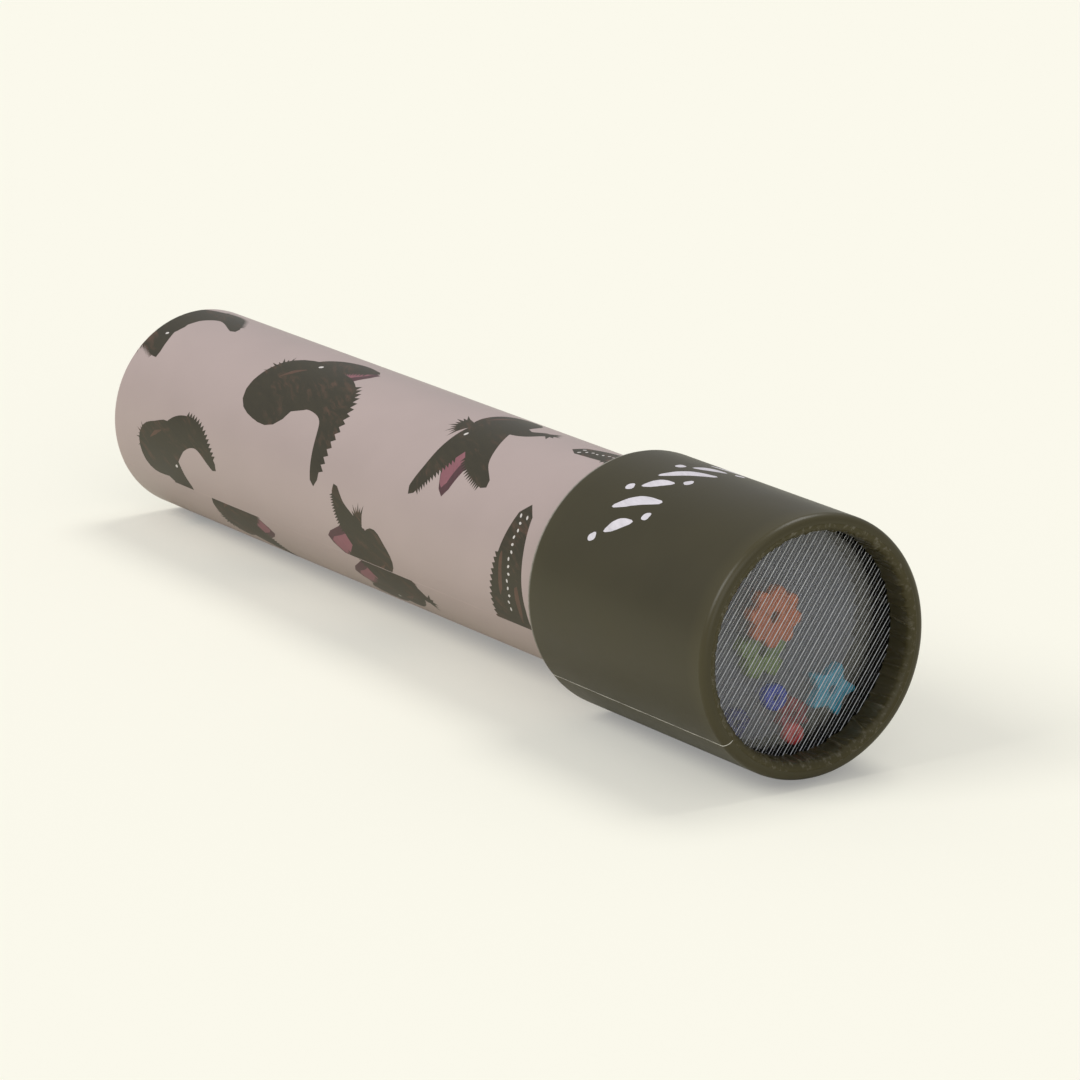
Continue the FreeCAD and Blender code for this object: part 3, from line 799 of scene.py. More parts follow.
def crocodile(upper, lower, tongue, foot, crest, thick, seed):
    """One open-mouthed crocodile's head, facing +p, as (material, outline) pairs in head lengths.

    upper and lower are each a jaw's direction, its hook and its length; tongue is the mouth's length;
    foot and crest are the directions of a small clawed foot and of the tufts behind the head.
    """
    shapes = []
    if tongue:
        lean = (upper[0] + lower[0]) / 2
        throat = [(0.1, 0), polar(lean, tongue * 0.6), polar(lean, tongue)]
        mouth = [(0.3, 0), polar(lean + 5, tongue * 0.6), polar(lean + 3, tongue * 0.93)]
        shapes.append((THROAT, limb(throat, [0.5, 0.42, 0.14])))
        shapes.append((MOUTH, limb(mouth, [0.26, 0.28, 0.1])))
    shapes.append((INK, jaw(*upper, thick, -1)))
    shapes.append((INK, jaw(*lower, thick, 1)))
    shapes.append((INK, blot((-0.15, 0.0), 0.78 * thick, 0.68 * thick, 0.2, 0.1, seed=seed)))
    shapes.append((INK, tuft(polar(crest, 0.62), 0.46, math.radians(crest + 8), 1.9, 9, 0.55)))
    if foot:
        leg = [polar(foot, 0.3), polar(foot + 8, 0.75), polar(foot - 4, 1.05)]
        shapes.append((INK, limb(leg, [0.26, 0.15, 0.12])))
        shapes.append((INK, tuft(polar(foot - 5, 1.1), 0.3, math.radians(foot), 2.0, 5, 0.5)))
    stroke = [polar(160, 0.5), polar(130, 0.42), polar(95, 0.44)]
    shapes.append((BROWN, limb(stroke, [0.01, 0.05, 0.01])))
    shapes.append((TOOTH, blot(polar(upper[0] + 18, 0.62), 0.05, 0.035, 0.3, count=10)))
    return shapes


def snout(seed):
    """One crocodile's closed snout seen from above, facing +p, with a row of pale teeth."""
    route = [(-1.4, 0), (-0.4, 0.05), (0.7, 0), (1.5, -0.02)]
    shapes = [(INK, limb(route, [0.62, 0.6, 0.42, 0.24], (0.1, 0.6), 0.08))]
    for k in range(13):
        place = (-0.5 + k * 0.15, 0.02 + 0.03 * math.sin(2.1 * k))
        shapes.append((TOOTH, blot(place, 0.042, 0.03, k * 0.9, count=8)))
    for k, side in enumerate((-1, 1)):
        shapes.append((TOOTH, blot((1.45, side * 0.11), 0.05, 0.03, 0.5, count=8)))
        shapes.append((BROWN, blot((-0.3 + 0.5 * k, side * 0.3), 0.42, 0.07, 0.06, 0.2, seed=seed + k)))
    return shapes


def placed(shapes, u, v, heading, scale, flip):
    """Shapes drawn in units, moved on to the sheet: place in millimetres, heading in degrees from +u."""
    a = math.radians(heading)
    turn = np.array(((math.cos(a), math.sin(a)), (-math.sin(a), math.cos(a))))
    moved = []
    for slot, outline in shapes:
        here = np.asarray(outline, float) * (1, flip) * scale @ turn + (u, v)
        moved.append((slot, here * MM))
    return moved


# Each figure on the tube: a crocodile's jaws, tongue, foot, crest and thickness, or none for a snout,
# then its place from the kaleidoscope's middle and from the seam, its heading, its scale and its flip.
FIGURES = (
    (((-38, 4, 1.2), (38, -32, 2.2), 0, 0, 175, 1.0), (-89, 7, -4, 9.5, 1)),
    (((58, -24, 1.5), (-2, -44, 2.35), 1.5, 0, 150, 1.15), (-53, 30, 10, 12.0, 1)),
    (((-50, 0, 1.2), (48, -38, 2.2), 0, 0, -100, 1.1), (-109, 34, 4, 9.5, 1)),
    (((34, 8, 1.6), (-30, -8, 1.7), 1.5, 0, -60, 0.8), (-10, 3, 178, 9.5, 1)),
    (((12, 6, 2.0), (-30, -12, 1.9), 1.75, -100, 62, 0.85), (9, 40, -88, 11.0, -1)),
    (None, (40, 8, 90, 9.5, 1)),
    (((26, 14, 1.4), (-34, -10, 1.6), 1.3, 0, -160, 0.95), (-64, -3, 2, 9.5, 1)),
    (((46, -14, 1.4), (-20, -24, 1.5), 1.45, 184, -140, 0.95), (-5, -3, 172, 10, 1)),
    (((40, -30, 1.9), (-30, 10, 1.6), 1.4, 250, 150, 1.1), (-84, 66, 150, 10.5, 1)),
    (((30, 10, 1.8), (-42, 30, 2.0), 0, 0, 165, 1.1), (-34, 74, 20, 10.5, -1)),
    (((22, 10, 1.9), (-26, -8, 1.8), 1.6, 110, -120, 0.9), (20, 74, 120, 10.5, 1)),
    (None, (-60, 96, -60, 9.0, 1)),
    (((38, -20, 1.8), (-34, 10, 1.7), 1.4, 0, 150, 1.0), (-98, 101, 60, 10.5, -1)),
    (((45, -20, 1.8), (-28, -18, 2.0), 0, 250, 140, 1.1), (0, 101, -10, 10.5, 1)),
    (((30, 5, 1.7), (-30, -5, 1.6), 1.4, 0, 160, 0.9), (46, 104, 200, 9.5, 1)),
    (None, (46, 46, 200, 8.5, 1)),
)


def tube_print(turns):
    """The figures on the tube's sheet: u in millimetres from the kaleidoscope's middle, v from the seam."""
    shapes = []
    for seed, (form, (u, v, heading, scale, flip)) in enumerate(FIGURES, 1):
        figure = crocodile(*form, seed) if form else snout(seed)
        shapes += placed(figure, u, v % turns, heading, scale, flip)
    return shapes


# ---------------------------------------------------------------- papers


class KALEIDOSCOPE_OT_tube_wrap(bpy.types.Operator):
    """Rolls the printed paper round the tube and turns it over the far end"""

    bl_idname = "kaleidoscope.tube_wrap"
    bl_label = "Tube Wrap"

    def execute(self, context):
        paper = context.scene.kaleidoscope_paper
        rounding = 0.8 * MM
        turned_over_to = TUBE_RADIUS - 4.5 * MM
        profile = Profile([
            (TUBE_REAR, turned_over_to, 0),
            (TUBE_REAR, TUBE_RADIUS, rounding),
            (high("tube_wrap").x, TUBE_RADIUS, 0),
        ])
        materials = [
            paper_material("tube_paper", tuple(paper.mauve), tuple(paper.core), 0.42, 0.3, 0.025),
            ink_material("crocodile_ink", tuple(paper.crocodile), tuple(paper.crocodile_brown)),
            ink_material("crocodile_strokes", tuple(paper.crocodile_brown), tuple(paper.crocodile), 0.6),
            ink_material("mouth_ink", tuple(paper.mouth), tuple(paper.mouth_dark), 0.5, 1.0),
            ink_material("throat_ink", tuple(paper.mouth_dark), tuple(paper.crocodile), 0.5, 1.0),
            paper_material("tooth_ink", tuple(paper.tooth), tuple(paper.core), 0.45),
            paper_material("tube_paper_edge", brighter(tuple(paper.mauve), 1.1), tuple(paper.core), 0.6),
        ]
        turns = 2 * math.pi * TUBE_RADIUS
        middle_u = profile.u_at(0.0, profile.knots[-2] - rounding)
        shapes = [(slot, outline + (middle_u, 0.0)) for slot, outline in tube_print(turns / MM)]
        strip = turns - 0.6 * paper.seam_edge
        shapes.append((len(materials) - 1, self.strip(profile.rows, strip, turns)))
        rear_edge = profile.knots[3]

        # Wear along the turned-over rear edge; the same value paints light there.
        def rubbed(u, v):
            return 0.8 * np.exp(-(((u - rear_edge) / (0.5 * MM)) ** 2))

        mesh = rolled_sheet(
            "tube_wrap_skin", profile, paper.tube_seam, LAP_ANGLE * TUBE_RADIUS, shapes, materials,
            paper, TUBE_RADIUS, rubbed,
        )
        new_piece("tube_wrap_skin", mesh, "tube", "printed_paper", "tube_wrap")
        return {"FINISHED"}

    @staticmethod
    def strip(rows, start, end):
        over = 1 * MM
        along = [rows[0] - over, *rows, rows[-1] + over]
        return np.array([(u, start) for u in along] + [(u, end + over) for u in along[::-1]])


def head_profile():
    """The head's paper: from inside the rear, round the rear edge, along the head and over the lip."""
    rounding = 1.5 * MM
    return Profile([
        (HEAD_REAR + 8 * MM, LIP_WALL, 0),
        (HEAD_REAR, LIP_WALL, 1.0 * MM),
        (HEAD_REAR, HEAD_RADIUS, rounding),
        (HEAD_FRONT, HEAD_RADIUS, rounding),
        (HEAD_FRONT, LIP_FACE, 0),
    ])


def head_print(radius, seam):
    """Painted dabs and dots in a band round the head: no letters and no signs, only brush marks."""
    draw = random.Random(24)
    shapes = []
    turn, k = -46.0, 0
    while turn < 126:
        v = ((turn - seam) % 360) * radius * math.pi / 180
        place = np.array((71.5 + draw.uniform(-1.0, 1.0), v))
        lean = 0.5 + draw.uniform(-0.12, 0.12)
        reach = np.array((math.cos(lean), math.sin(lean))) * (5.4 if k % 2 else 3.0)
        side = np.array((-reach[1], reach[0])) * 0.16
        route = [place - reach, place + side, place + reach]
        shapes.append((MARK, limb(route, [0.45, 1.15, 1.3, 1.0, 0.5], count=16) * MM))
        for step in (-1, 1) if k % 2 == 0 else ():
            dot = place + reach * step * 2.0 + np.array((0, draw.uniform(-0.5, 0.5)))
            shapes.append((MARK, blot(dot, 1.05, 0.9, lean, 0.1, 18, seed=len(shapes)) * MM))
        turn += draw.uniform(12.5, 14.5)
        k += 1
    return shapes


class KALEIDOSCOPE_OT_head_wrap(bpy.types.Operator):
    """Rolls the olive paper round the head, over its lip and in at its rear"""

    bl_idname = "kaleidoscope.head_wrap"
    bl_label = "Head Wrap"

    def execute(self, context):
        paper = context.scene.kaleidoscope_paper
        profile = head_profile()
        dab = tuple(paper.marks)
        materials = [
            paper_material("head_paper", tuple(paper.olive), tuple(paper.core), 0.4, 0.06, 0.06),
            ink_material("painted_dabs", dab, brighter(dab, 0.8), 0.5, 0.2, 0.5),
            paper_material("head_paper_core", tuple(paper.core), tuple(paper.core), 0.7),
        ]
        turns = 2 * math.pi * HEAD_RADIUS
        shift = profile.u_at(HEAD_REAR + 10 * MM, 12 * MM) - (HEAD_REAR + 10 * MM)
        dabs = head_print(HEAD_RADIUS / MM, math.degrees(paper.head_seam))
        shapes = [(slot, outline + (shift, 0.0)) for slot, outline in dabs]
        shapes.append((len(materials) - 1, self.seam_line(profile.length, turns, paper.seam_edge)))
        lip = profile.length - 3.4 * MM
        rear = profile.u_at(HEAD_REAR + 1.2 * MM, 9 * MM)

        # Wear over the lip, at the rear edge and along the seam; the same values paint light there, most
        # over the lip.
        def rubbed(u, v):
            at_lip = 1 / (1 + np.exp(-(u - lip) / (0.25 * MM)))
            at_rear = np.exp(-(((u - rear) / (0.8 * MM)) ** 2))
            at_seam = np.exp(-(((turns - v) / (0.5 * MM)) ** 2))
            return np.maximum.reduce([0.42 * at_lip, 0.15 * at_rear, 0.3 * at_seam])

        mesh = rolled_sheet(
            "head_wrap_skin", profile, paper.head_seam, LAP_ANGLE * HEAD_RADIUS, shapes, materials,
            paper, HEAD_RADIUS, rubbed,
        )
        new_piece("head_wrap_skin", mesh, "head", "olive_paper", "head_wrap")
        return {"FINISHED"}

    @staticmethod
    def seam_line(length, turns, wide):
        """The pale cut edge along the seam, a little uneven in its width."""
        over = 1 * MM
        inner = [(u, turns - wide * (0.75 + 0.35 * math.sin(u * 700) + 0.2 * math.sin(u * 2900)))
                 for u in np.linspace(-over, length + over, 90)]
        return np.array(inner + [(length + over, turns + over), (-over, turns + over)])


class KALEIDOSCOPE_OT_turned_in_paper(bpy.types.Operator):
    """Gathers the head's paper into sharp pleats where it goes down inside the lip to the window"""

    bl_idname = "kaleidoscope.turned_in_paper"
    bl_label = "Turned-in Paper"

    pleats: bpy.props.IntProperty(
        name="Pleats", description="How many pleats the paper makes", default=118, min=8
    )
    pleat_depth: length("Pleat depth", "How far the deepest pleat stands in from the wall", 0.5 * MM)

    def execute(self, context):
        paper = context.scene.kaleidoscope_paper
        bottom = WINDOW_FRONT + 0.02 * MM
        corners = [(HEAD_FRONT, LIP_FACE, 0), (HEAD_FRONT, LIP_WALL, 1.3 * MM), (bottom, LIP_WALL, 0)]
        profile = Profile(corners, 8, 0.3 * MM)
        turns = np.linspace(0, 2 * math.pi, 1080, endpoint=False)
        folds = self.folds()
        outer, inner, edge = [], [], []
        for u in profile.rows:
            x, r, nx, nr = (float(value) for value in profile.at(u))
            share = u / profile.length
            lift, worn = self.pleat(turns, share, folds)
            grow = min(1.0, max(0.0, (share - 0.1) / 0.22))
            ring = r - lift * grow * self.pleat_depth
            outer.append([on_axis(x, float(p), float(t)) for p, t in zip(ring, turns)])
            back = (x - nx * paper.thickness, r - nr * paper.thickness)
            inner.append([on_axis(back[0], back[1], float(t)) for t in turns])
            # The edge value: wear and painted glints on the pleats' crests, most near the lip, and painted
            # light over the lip face.
            rim = math.exp(-(((share - 0.34) / 0.14) ** 2))
            edge.append(np.maximum(worn * grow * (0.3 + 0.7 * rim), 0.42 * (1 - min(1.0, share / 0.7))))
        mesh = ring_mesh("turned_in_paper", inner + outer[::-1])
        store_edge(mesh, np.concatenate([np.zeros(len(turns))] * len(inner) + edge[::-1]))
        mesh.materials.append(pleated_material("gathered_paper", tuple(paper.olive), tuple(paper.core)))
        new_piece("turned_in_paper", mesh, "head", "olive_paper")
        return {"FINISHED"}

    def folds(self):
        """Each fold: where it starts, how much it slants, how wide it is and how deep."""
        draw = random.Random(7)
        made = []
        for k in range(self.pleats):
            made.append((
                2 * math.pi * (k + draw.uniform(-0.38, 0.38)) / self.pleats,
                draw.uniform(-0.11, 0.11),
                draw.uniform(0.015, 0.055),
                draw.uniform(0.2, 1.0),
                draw.choice((-1, 1)),
            ))
        return made

    @staticmethod
    def pleat(turns, share, folds):
        """How far the paper stands in round one ring, from 0 to 1, and how worn its crests are, which also
        sets their painted glint.
        """
        lift = np.zeros(len(turns))
        worn = np.zeros(len(turns))
        for start, slant, wide, deep, side in folds:
            away = (turns - start - slant * share + math.pi) % (2 * math.pi) - math.pi
            away = away * side / wide
            ridge = np.where(away < 0, np.clip(1 + away / 0.35, 0, 1), np.clip(1 - away / 1.2, 0, 1)) * deep
            lift = np.maximum(lift, ridge)
            worn = np.maximum(worn, deep * np.exp(-((away / 0.16) ** 2)))
        return lift, worn


# ---------------------------------------------------------------- window and beads


class KALEIDOSCOPE_OT_ribbed_window(bpy.types.Operator):
    """Moulds the clear window at the head's front end, ribbed on its outer face"""

    bl_idname = "kaleidoscope.ribbed_window"
    bl_label = "Ribbed Window"

    def execute(self, context):
        window = context.scene.kaleidoscope_window
        radius = WINDOW_RADIUS - 0.03 * MM
        steps = 80
        pitch, height = window.rib_pitch, window.rib_height
        count = math.ceil(2 * radius / pitch) * steps
        across = [a * pitch / steps for a in range(-count // 2, count // 2 + 1)]
        across = [a for a in across if abs(a) < radius]
        across = [-radius * 0.9999] + across + [radius * 0.9999]
        lean = window.rib_angle
        along = np.array((math.cos(lean), math.sin(lean)))
        over = np.array((-math.sin(lean), math.cos(lean)))
        vertices, shape = [], []
        for a in across:
            reach = math.sqrt(radius**2 - a**2)
            share = (a / pitch) % 1.0
            rise = self.rib(share)
            for x in (WINDOW_FRONT - height * (1 - rise), WINDOW_REAR):
                for end in (-reach, reach):
                    y, z = over * a + along * end
                    vertices.append((x, y, AXIS_Z + z))
            shape.append(share)
        faces = []
        for k in range(len(across) - 1):
            a, b = 4 * k, 4 * k + 4
            faces += [(a, a + 1, b + 1, b), (a + 2, b + 2, b + 3, a + 3)]
            faces += [(a, b, b + 2, a + 2), (a + 1, a + 3, b + 3, b + 1)]
        last = 4 * (len(across) - 1)
        faces += [(0, 2, 3, 1), (last, last + 1, last + 3, last + 2)]
        mesh = bpy.data.meshes.new("ribbed_window_sheet")
        mesh.from_pydata(vertices, [], faces)
        normals = []
        for face in mesh.polygons:
            for loop in face.vertices:
                normals.append(self.normal(face, shape[loop // 4], height, pitch, over, loop))
        mesh.polygons.foreach_set("use_smooth", np.ones(len(mesh.polygons), bool))
        mesh.normals_split_custom_set(normals)
        # Painted highlights: pale, hazy strips beside each groove and by the fine groove stand for the
        # glints on the ribs.
        scored = []
        for face in mesh.polygons:
            scored.append(face.normal.x > 0.1 and self.scored(shape[face.vertices[0] // 4]))
        mesh.polygons.foreach_set("material_index", np.array(scored, np.int32))
        mesh.materials.append(clear_material("ribbed_plastic", (0.86, 0.88, 0.94), 0.015, 0.03))
        mesh.materials.append(clear_material("scored_plastic", (0.86, 0.88, 0.92), 0.25, 0.2, haze=0.8))
        new_piece("ribbed_window_sheet", mesh, "head", "clear_plastic", "ribbed_window")
        return {"FINISHED"}

    @staticmethod
    def rib(share):
        """A rib's height, from 0 in the groove beside it: a shallow lens with a fine groove on top."""
        away = min(share, 1 - share)
        lens = 0.8 + 0.2 * math.sin(math.pi * share)
        crest = 0.5 + 0.5 * min(1.0, abs(share - 0.5) / 0.016)
        return lens * crest * min(1.0, away / 0.022)

    @staticmethod
    def scored(share):
        """Whether this part of a rib gets a painted highlight: beside its groove, or by the fine one."""
        return share < 0.05 or share > 0.94 or abs(share - 0.56) < 0.02

    @classmethod
    def normal(cls, face, share, height, pitch, over, loop):
        """The window's own smooth normal at one corner of a face; its rim and back stay as they are."""
        if face.normal.x < 0.35 or loop % 4 > 1:
            return tuple(face.normal)
        step = 0.006
        rise = cls.rib((share + step) % 1.0) - cls.rib((share - step) % 1.0)
        slope = rise * height / (2 * step * pitch)
        return tuple(Vector((1.0, -slope * over[0], -slope * over[1])).normalized())


def flower_outline(radius, petal, count, turn):
    """Distance to the outline of round petals on a ring, at any angle."""
    reach = radius - petal

    def at(a):
        nearest = (a - turn + math.pi / count) % (2 * math.pi / count) - math.pi / count
        root = petal**2 - (reach * math.sin(nearest)) ** 2
        if root > 0:
            return max(reach * math.cos(nearest) + math.sqrt(root), reach)
        return reach

    return at


def star_outline(radius, waist, count, turn):
    """Distance to the straight sides of a star, at any angle."""
    half = math.pi / count

    def at(a):
        nearest = abs((a - turn + half) % (2 * half) - half)
        across = waist * math.sin(half) * math.cos(nearest)
        across += (radius - waist * math.cos(half)) * math.sin(nearest)
        return radius * waist * math.sin(half) / across

    return at


def round_outline(radius):
    """Distance to a round outline, the same at any angle."""

    def at(a):
        return radius

    return at


def moulded_bead(name, outline, hole, centre, thick, rounding, relief, steps=240):
    """A closed bead: its outline round a hole, rounded edges, and a relief on both faces.

    relief gives how far a face sinks, from the share of the way from hole to outline and the angle.
    """
    turns = [2 * math.pi * k / steps for k in range(steps)]
    reach = [outline(a) for a in turns]
    smooth = np.convolve(np.concatenate([reach[-4:], reach, reach[:4]]), np.ones(9) / 9, "valid")
    soft = 0.25 * MM
    face = [([hole] * steps, [soft] * steps, 0.2)]
    for share in (0.0, 0.15, 0.3, 0.45, 0.6, 0.75, 0.9, 1.0):
        radii = [hole + soft + (r - rounding - hole - soft) * share for r in smooth]
        sinks = [relief((p - hole) / (r - hole), a) for p, r, a in zip(radii, smooth, turns)]
        face.append((radii, sinks, 0.1))
    for k, wear in ((1, 0.9), (2, 0.9), (3, 0.4)):
        bend = k * math.pi / 6
        radii = [r - rounding * (1 - math.sin(bend)) for r in smooth]
        sinks = [rounding * (1 - math.cos(bend)) + 0.3 * relief(1, a) for a in turns]
        face.append((radii, sinks, wear))
    rings, edge = [], []
    for side in (1, -1):
        for radii, sinks, wear in face[::side]:
            ring = []
            for r, sink, a in zip(radii, sinks, turns):
                x = centre.x + side * (thick / 2 - sink)
                ring.append((x, centre.y + r * math.sin(a), centre.z + r * math.cos(a)))
            rings.append(ring)
            edge.append(np.full(steps, wear))
    mesh = ring_mesh(name, rings)
    store_edge(mesh, np.concatenate(edge))
    return mesh


# Each bead: its reach and its hole in millimetres, its turn in degrees, and its petals' radius and
# number. A star has points instead of petals, and a round bead has neither.
BEADS = {
    "orange": (5.9, 1.2, 10, 1.4, 8),
    "green": (5.5, 1.1, 0, 2.0, 5),
    "teal": (5.6, 0.9, 22, 0, 5),
    "red": (3.3, 0.7, 0, 1.1, 6),
    "blue": (2.6, 0.7, 0, 0, 0),
    "navy": (2.8, 0.7, 0, 0, 0),
    "coral": (2.1, 0.6, 0, 0, 0),
}
STAR_WAIST = 3.1 * MM


class KALEIDOSCOPE_OT_beads(bpy.types.Operator):
    """Moulds the seven loose beads: two flowers, a star, a small flower and three round ones"""

    bl_idname = "kaleidoscope.beads"
    bl_label = "Beads"

    def execute(self, context):
        colours = context.scene.kaleidoscope_beads
        for kind, (reach, hole, degrees, petal, count) in BEADS.items():
            node = "teal_star" if kind == "teal" else f"{kind}_bead"
            radius = reach * MM
            turn = math.radians(degrees)
            if petal:
                outline = flower_outline(radius, petal * MM, count, turn)
            elif count:
                outline = star_outline(radius, STAR_WAIST, count, turn)
            else:
                outline = round_outline(radius)
            place = spin_centre(node)
            centre = Vector((middle(node).x, place.y, place.z))
            thick = high(node).x - low(node).x - 0.02 * MM
            rounding = 0.55 * MM if count else 0.95 * MM
            relief = self.relief(kind, count, turn)
            mesh = moulded_bead(
                f"{kind}_moulding", outline, hole * MM, centre, thick, rounding, relief
            )
            mesh.materials.append(bead_material(f"{kind}_plastic", tuple(getattr(colours, kind))))
            new_piece(f"{kind}_moulding", mesh, f"{kind}_charge", f"{kind}_plastic", node)
        return {"FINISHED"}

    @staticmethod
    def relief(kind, count, turn):
        """How each bead's faces sink: grooves between petals, a dish round the hole, or a star's ridges."""

        def at(share, a):
            if not count:
                return 0.1 * (1 - share) * MM
            nearest = abs((a - turn + math.pi / count) % (2 * math.pi / count) - math.pi / count)
            between = nearest * count / math.pi
            if kind == "teal":
                return (0.3 * between * share + 0.05 * (1 - share)) * MM
            veins = 0.07 * math.sin(share * 21) ** 2 if kind == "orange" else 0.0
            return (0.34 * between**2 * share + 0.12 * (1 - share) + veins) * MM

        return at


# ---------------------------------------------------------------- finishes of the frame's own parts


class KALEIDOSCOPE_OT_inner_finishes(bpy.types.Operator):
    """Finishes the boards, rings, mirrors, inner windows and felt that the frame brings"""

    bl_idname = "kaleidoscope.inner_finishes"
    bl_label = "Inner Finishes"

    def execute(self, context):
        paper = context.scene.kaleidoscope_paper
        board = card_material("grey_board", (0.3, 0.28, 0.24))
        black = card_material("black_card", (0.008, 0.008, 0.008), 0.9, 0.3, 0.03)
        label = card_material("label_card", tuple(paper.olive), 0.6, 0.08)
        felt = felt_material("black_felt", (0.02, 0.02, 0.021))
        mirror = mirror_material("mirror_face")
        frosted = clear_material("frosted_plastic", (0.3, 0.305, 0.335), 0.5, 0.2, haze=0.55)
        clear = clear_material("clear_plastic", (0.95, 0.95, 0.95), 0.03, 0.2)
        finishes = {
            board: ("tube_shell", "eyepiece_disc", "head_shell", "rear_mirror_support"),
            black: (
                "neck_tube", "stop_collar", "mirror_jacket", "front_mirror_support", "retaining_ring",
                "cell_seat_ring", "cell_spacer_ring",
            ),
            label: ("end_label",),
            felt: ("guide_strip",),
            mirror: ("mirror_floor", "mirror_left", "mirror_right"),
            frosted: ("inner_window",),
            clear: ("peephole_window",),
        }
        for material, nodes in finishes.items():
            for node in nodes:
                mesh = frame["nodes"][node].data
                mesh.materials.clear()
                mesh.materials.append(material)
        return {"FINISHED"}


# ---------------------------------------------------------------- stage


CAMERA_PLACE = (0.949216, -0.624661, 0.331630)
CAMERA_SHIFT = (-0.0011, -0.0018)


class KALEIDOSCOPE_OT_stage(bpy.types.Operator):
    """Lays the kaleidoscope on a pale floor in soft light, and places the camera"""

    bl_idname = "kaleidoscope.stage"
    bl_label = "Stage"

    floor_light: bpy.props.FloatProperty(
        name="Sky share", description="Share of the floor's light that comes from all round", default=0.4
    )
    lifted_shade: bpy.props.FloatProperty(
        name="Lifted shade", description="How light the floor stays in its deepest shade", default=0.25
    )

    def execute(self, context):
        stage = context.scene.kaleidoscope_stage
        self.floor(stage)
        self.camera(stage)
        self.lights(stage)
        return {"FINISHED"}

    def floor(self, stage):
        """The object rests on its head's rear edge and its far end, so the floor slopes a little."""
        touch = AXIS_Z - TUBE_RADIUS
        slope = touch / (TUBE_REAR - HEAD_REAR)
        reach = 4.0
        centre = -0.02
        corners = []
        for x, y in ((-reach, -reach), (reach, -reach), (reach, reach), (-reach, reach)):
            corners.append((centre + x, y, slope * (centre + x - HEAD_REAR) - 0.05 * MM))
        mesh = bpy.data.meshes.new("floor")
        mesh.from_pydata(corners, [], [(0, 1, 2, 3)])
        floor = bpy.data.objects.new("floor", mesh)
        bpy.context.scene.collection.objects.link(floor)
        material, nodes, shader, _, place = new_material("floor_paper")
        grain = nodes.noise(place, 260.0, 3.0, 0.6)
        lifted = self.lifted_shade
        tone = tuple(value - lifted for value in stage.backdrop)
        nodes.feed(shader.inputs["Base Color"], nodes.mix(grain, brighter(tone, 0.997), tone))
        shader.inputs["Emission Color"].default_value = (lifted, lifted, lifted, 1.0)
        seen = nodes.add("ShaderNodeLightPath").outputs["Is Camera Ray"]
        nodes.feed(shader.inputs["Emission Strength"], seen)
        set_inputs(shader, {"Roughness": 1.0, "Specular IOR Level": 0.0})
        mesh.materials.append(material)

    def camera(self, stage):
        data = bpy.data.cameras.new("camera")
        data.lens = stage.lens
        data.sensor_width = 36.0
        data.shift_x, data.shift_y = CAMERA_SHIFT
        data.clip_end = 100.0
        camera = bpy.data.objects.new("camera", data)
        a, e = stage.azimuth, stage.elevation
        away = Vector((math.sin(a) * math.cos(e), -math.cos(a) * math.cos(e), math.sin(e)))
        camera.location = CAMERA_PLACE
        camera.rotation_euler = away.to_track_quat("Z", "Y").to_euler()
        bpy.context.scene.collection.objects.link(camera)
        bpy.context.scene.camera = camera

    def lights(self, stage):
        world = bpy.data.worlds.new("soft_room")
        world.use_nodes = True
        world.node_tree.nodes.clear()
        nodes = Nodes(world.node_tree)
        white = (1.0, 1.0, 1.0, 1.0)
        sky = nodes.add("ShaderNodeBackground", {"Color": white, "Strength": self.floor_light})
        seen = nodes.add("ShaderNodeBackground", {"Color": (*stage.backdrop, 1.0), "Strength": 1.0})
        ray = nodes.add("ShaderNodeLightPath").outputs["Is Camera Ray"]
        either = nodes.add("ShaderNodeMixShader", {0: ray, 1: sky.outputs[0], 2: seen.outputs[0]})
        nodes.add("ShaderNodeOutputWorld", {"Surface": either.outputs[0]})
        bpy.context.scene.world = world
        bpy.context.scene.view_settings.view_transform = "Standard"
        wanted = 1.0 - self.floor_light
        for name, direction, share, spread in (
            ("window_light", (-0.1, 0.42, 1.0), 0.46, 26),
            ("room_light", (-0.2, -1.0, 0.9), 0.42, 30),
            ("front_light", (1.0, -0.5, 0.55), 0.12, 45),
        ):
            data = bpy.data.lights.new(name, "SUN")
            data.angle = math.radians(spread)
            aim = Vector(direction).normalized()
            data.energy = wanted * share * math.pi / aim.z
            light = bpy.data.objects.new(name, data)
            light.rotation_euler = aim.to_track_quat("Z", "Y").to_euler()
            bpy.context.scene.collection.objects.link(light)


# ---------------------------------------------------------------- add-on


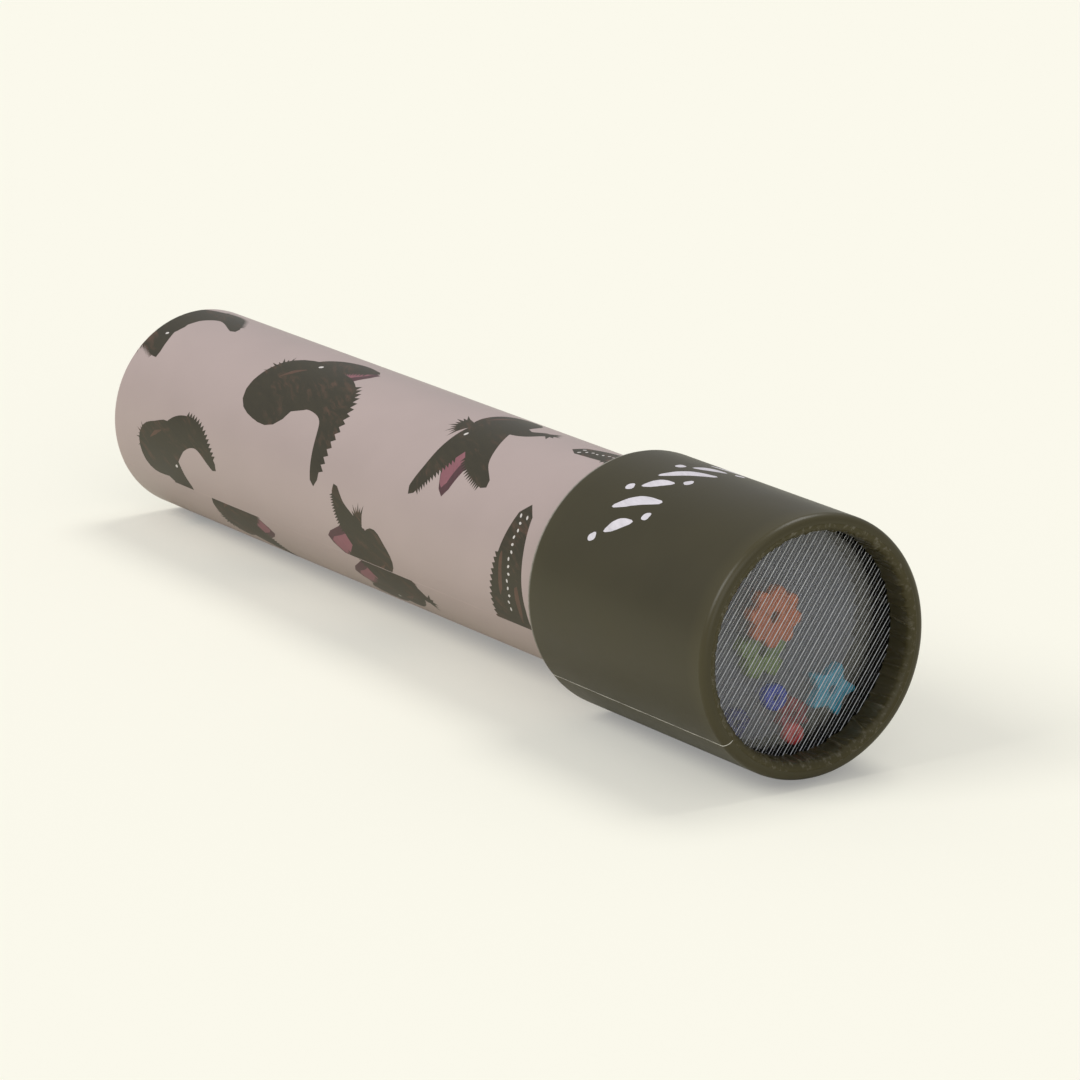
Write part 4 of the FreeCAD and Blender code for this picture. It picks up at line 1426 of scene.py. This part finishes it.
class KALEIDOSCOPE_PT_pieces(bpy.types.Panel):
    """Lists the sizes, the colours and the operators"""

    bl_label = "Kaleidoscope"
    bl_idname = "KALEIDOSCOPE_PT_pieces"
    bl_space_type = "VIEW_3D"
    bl_region_type = "UI"
    bl_category = "Kaleidoscope"

    def draw(self, context):
        for settings in SETTINGS:
            group = getattr(context.scene, settings)
            box = self.layout.box()
            for name in group.__annotations__:
                box.prop(group, name)
        for operator in OPERATORS:
            self.layout.operator(operator.bl_idname)


SETTINGS = {
    "kaleidoscope_paper": PaperSettings,
    "kaleidoscope_window": WindowSettings,
    "kaleidoscope_beads": BeadSettings,
    "kaleidoscope_stage": StageSettings,
}

OPERATORS = (
    KALEIDOSCOPE_OT_stage,
    KALEIDOSCOPE_OT_tube_wrap,
    KALEIDOSCOPE_OT_head_wrap,
    KALEIDOSCOPE_OT_turned_in_paper,
    KALEIDOSCOPE_OT_ribbed_window,
    KALEIDOSCOPE_OT_beads,
    KALEIDOSCOPE_OT_inner_finishes,
)


def register():
    for group in SETTINGS.values():
        bpy.utils.register_class(group)
    for operator in OPERATORS:
        bpy.utils.register_class(operator)
    bpy.utils.register_class(KALEIDOSCOPE_PT_pieces)
    for name, group in SETTINGS.items():
        setattr(bpy.types.Scene, name, bpy.props.PointerProperty(type=group))


def unregister():
    for name in SETTINGS:
        delattr(bpy.types.Scene, name)
    bpy.utils.unregister_class(KALEIDOSCOPE_PT_pieces)
    for made in (*reversed(OPERATORS), *SETTINGS.values()):
        bpy.utils.unregister_class(made)


def main():
    register()
    make_paper_fibre()
    make_rubbed_edge()
    make_brush_strokes()
    make_board_grain()
    make_handling_marks()
    bpy.ops.kaleidoscope.stage()
    bpy.ops.kaleidoscope.tube_wrap()
    bpy.ops.kaleidoscope.head_wrap()
    bpy.ops.kaleidoscope.turned_in_paper()
    bpy.ops.kaleidoscope.ribbed_window()
    bpy.ops.kaleidoscope.beads()
    bpy.ops.kaleidoscope.inner_finishes()


if __name__ == "__main__":
    main()
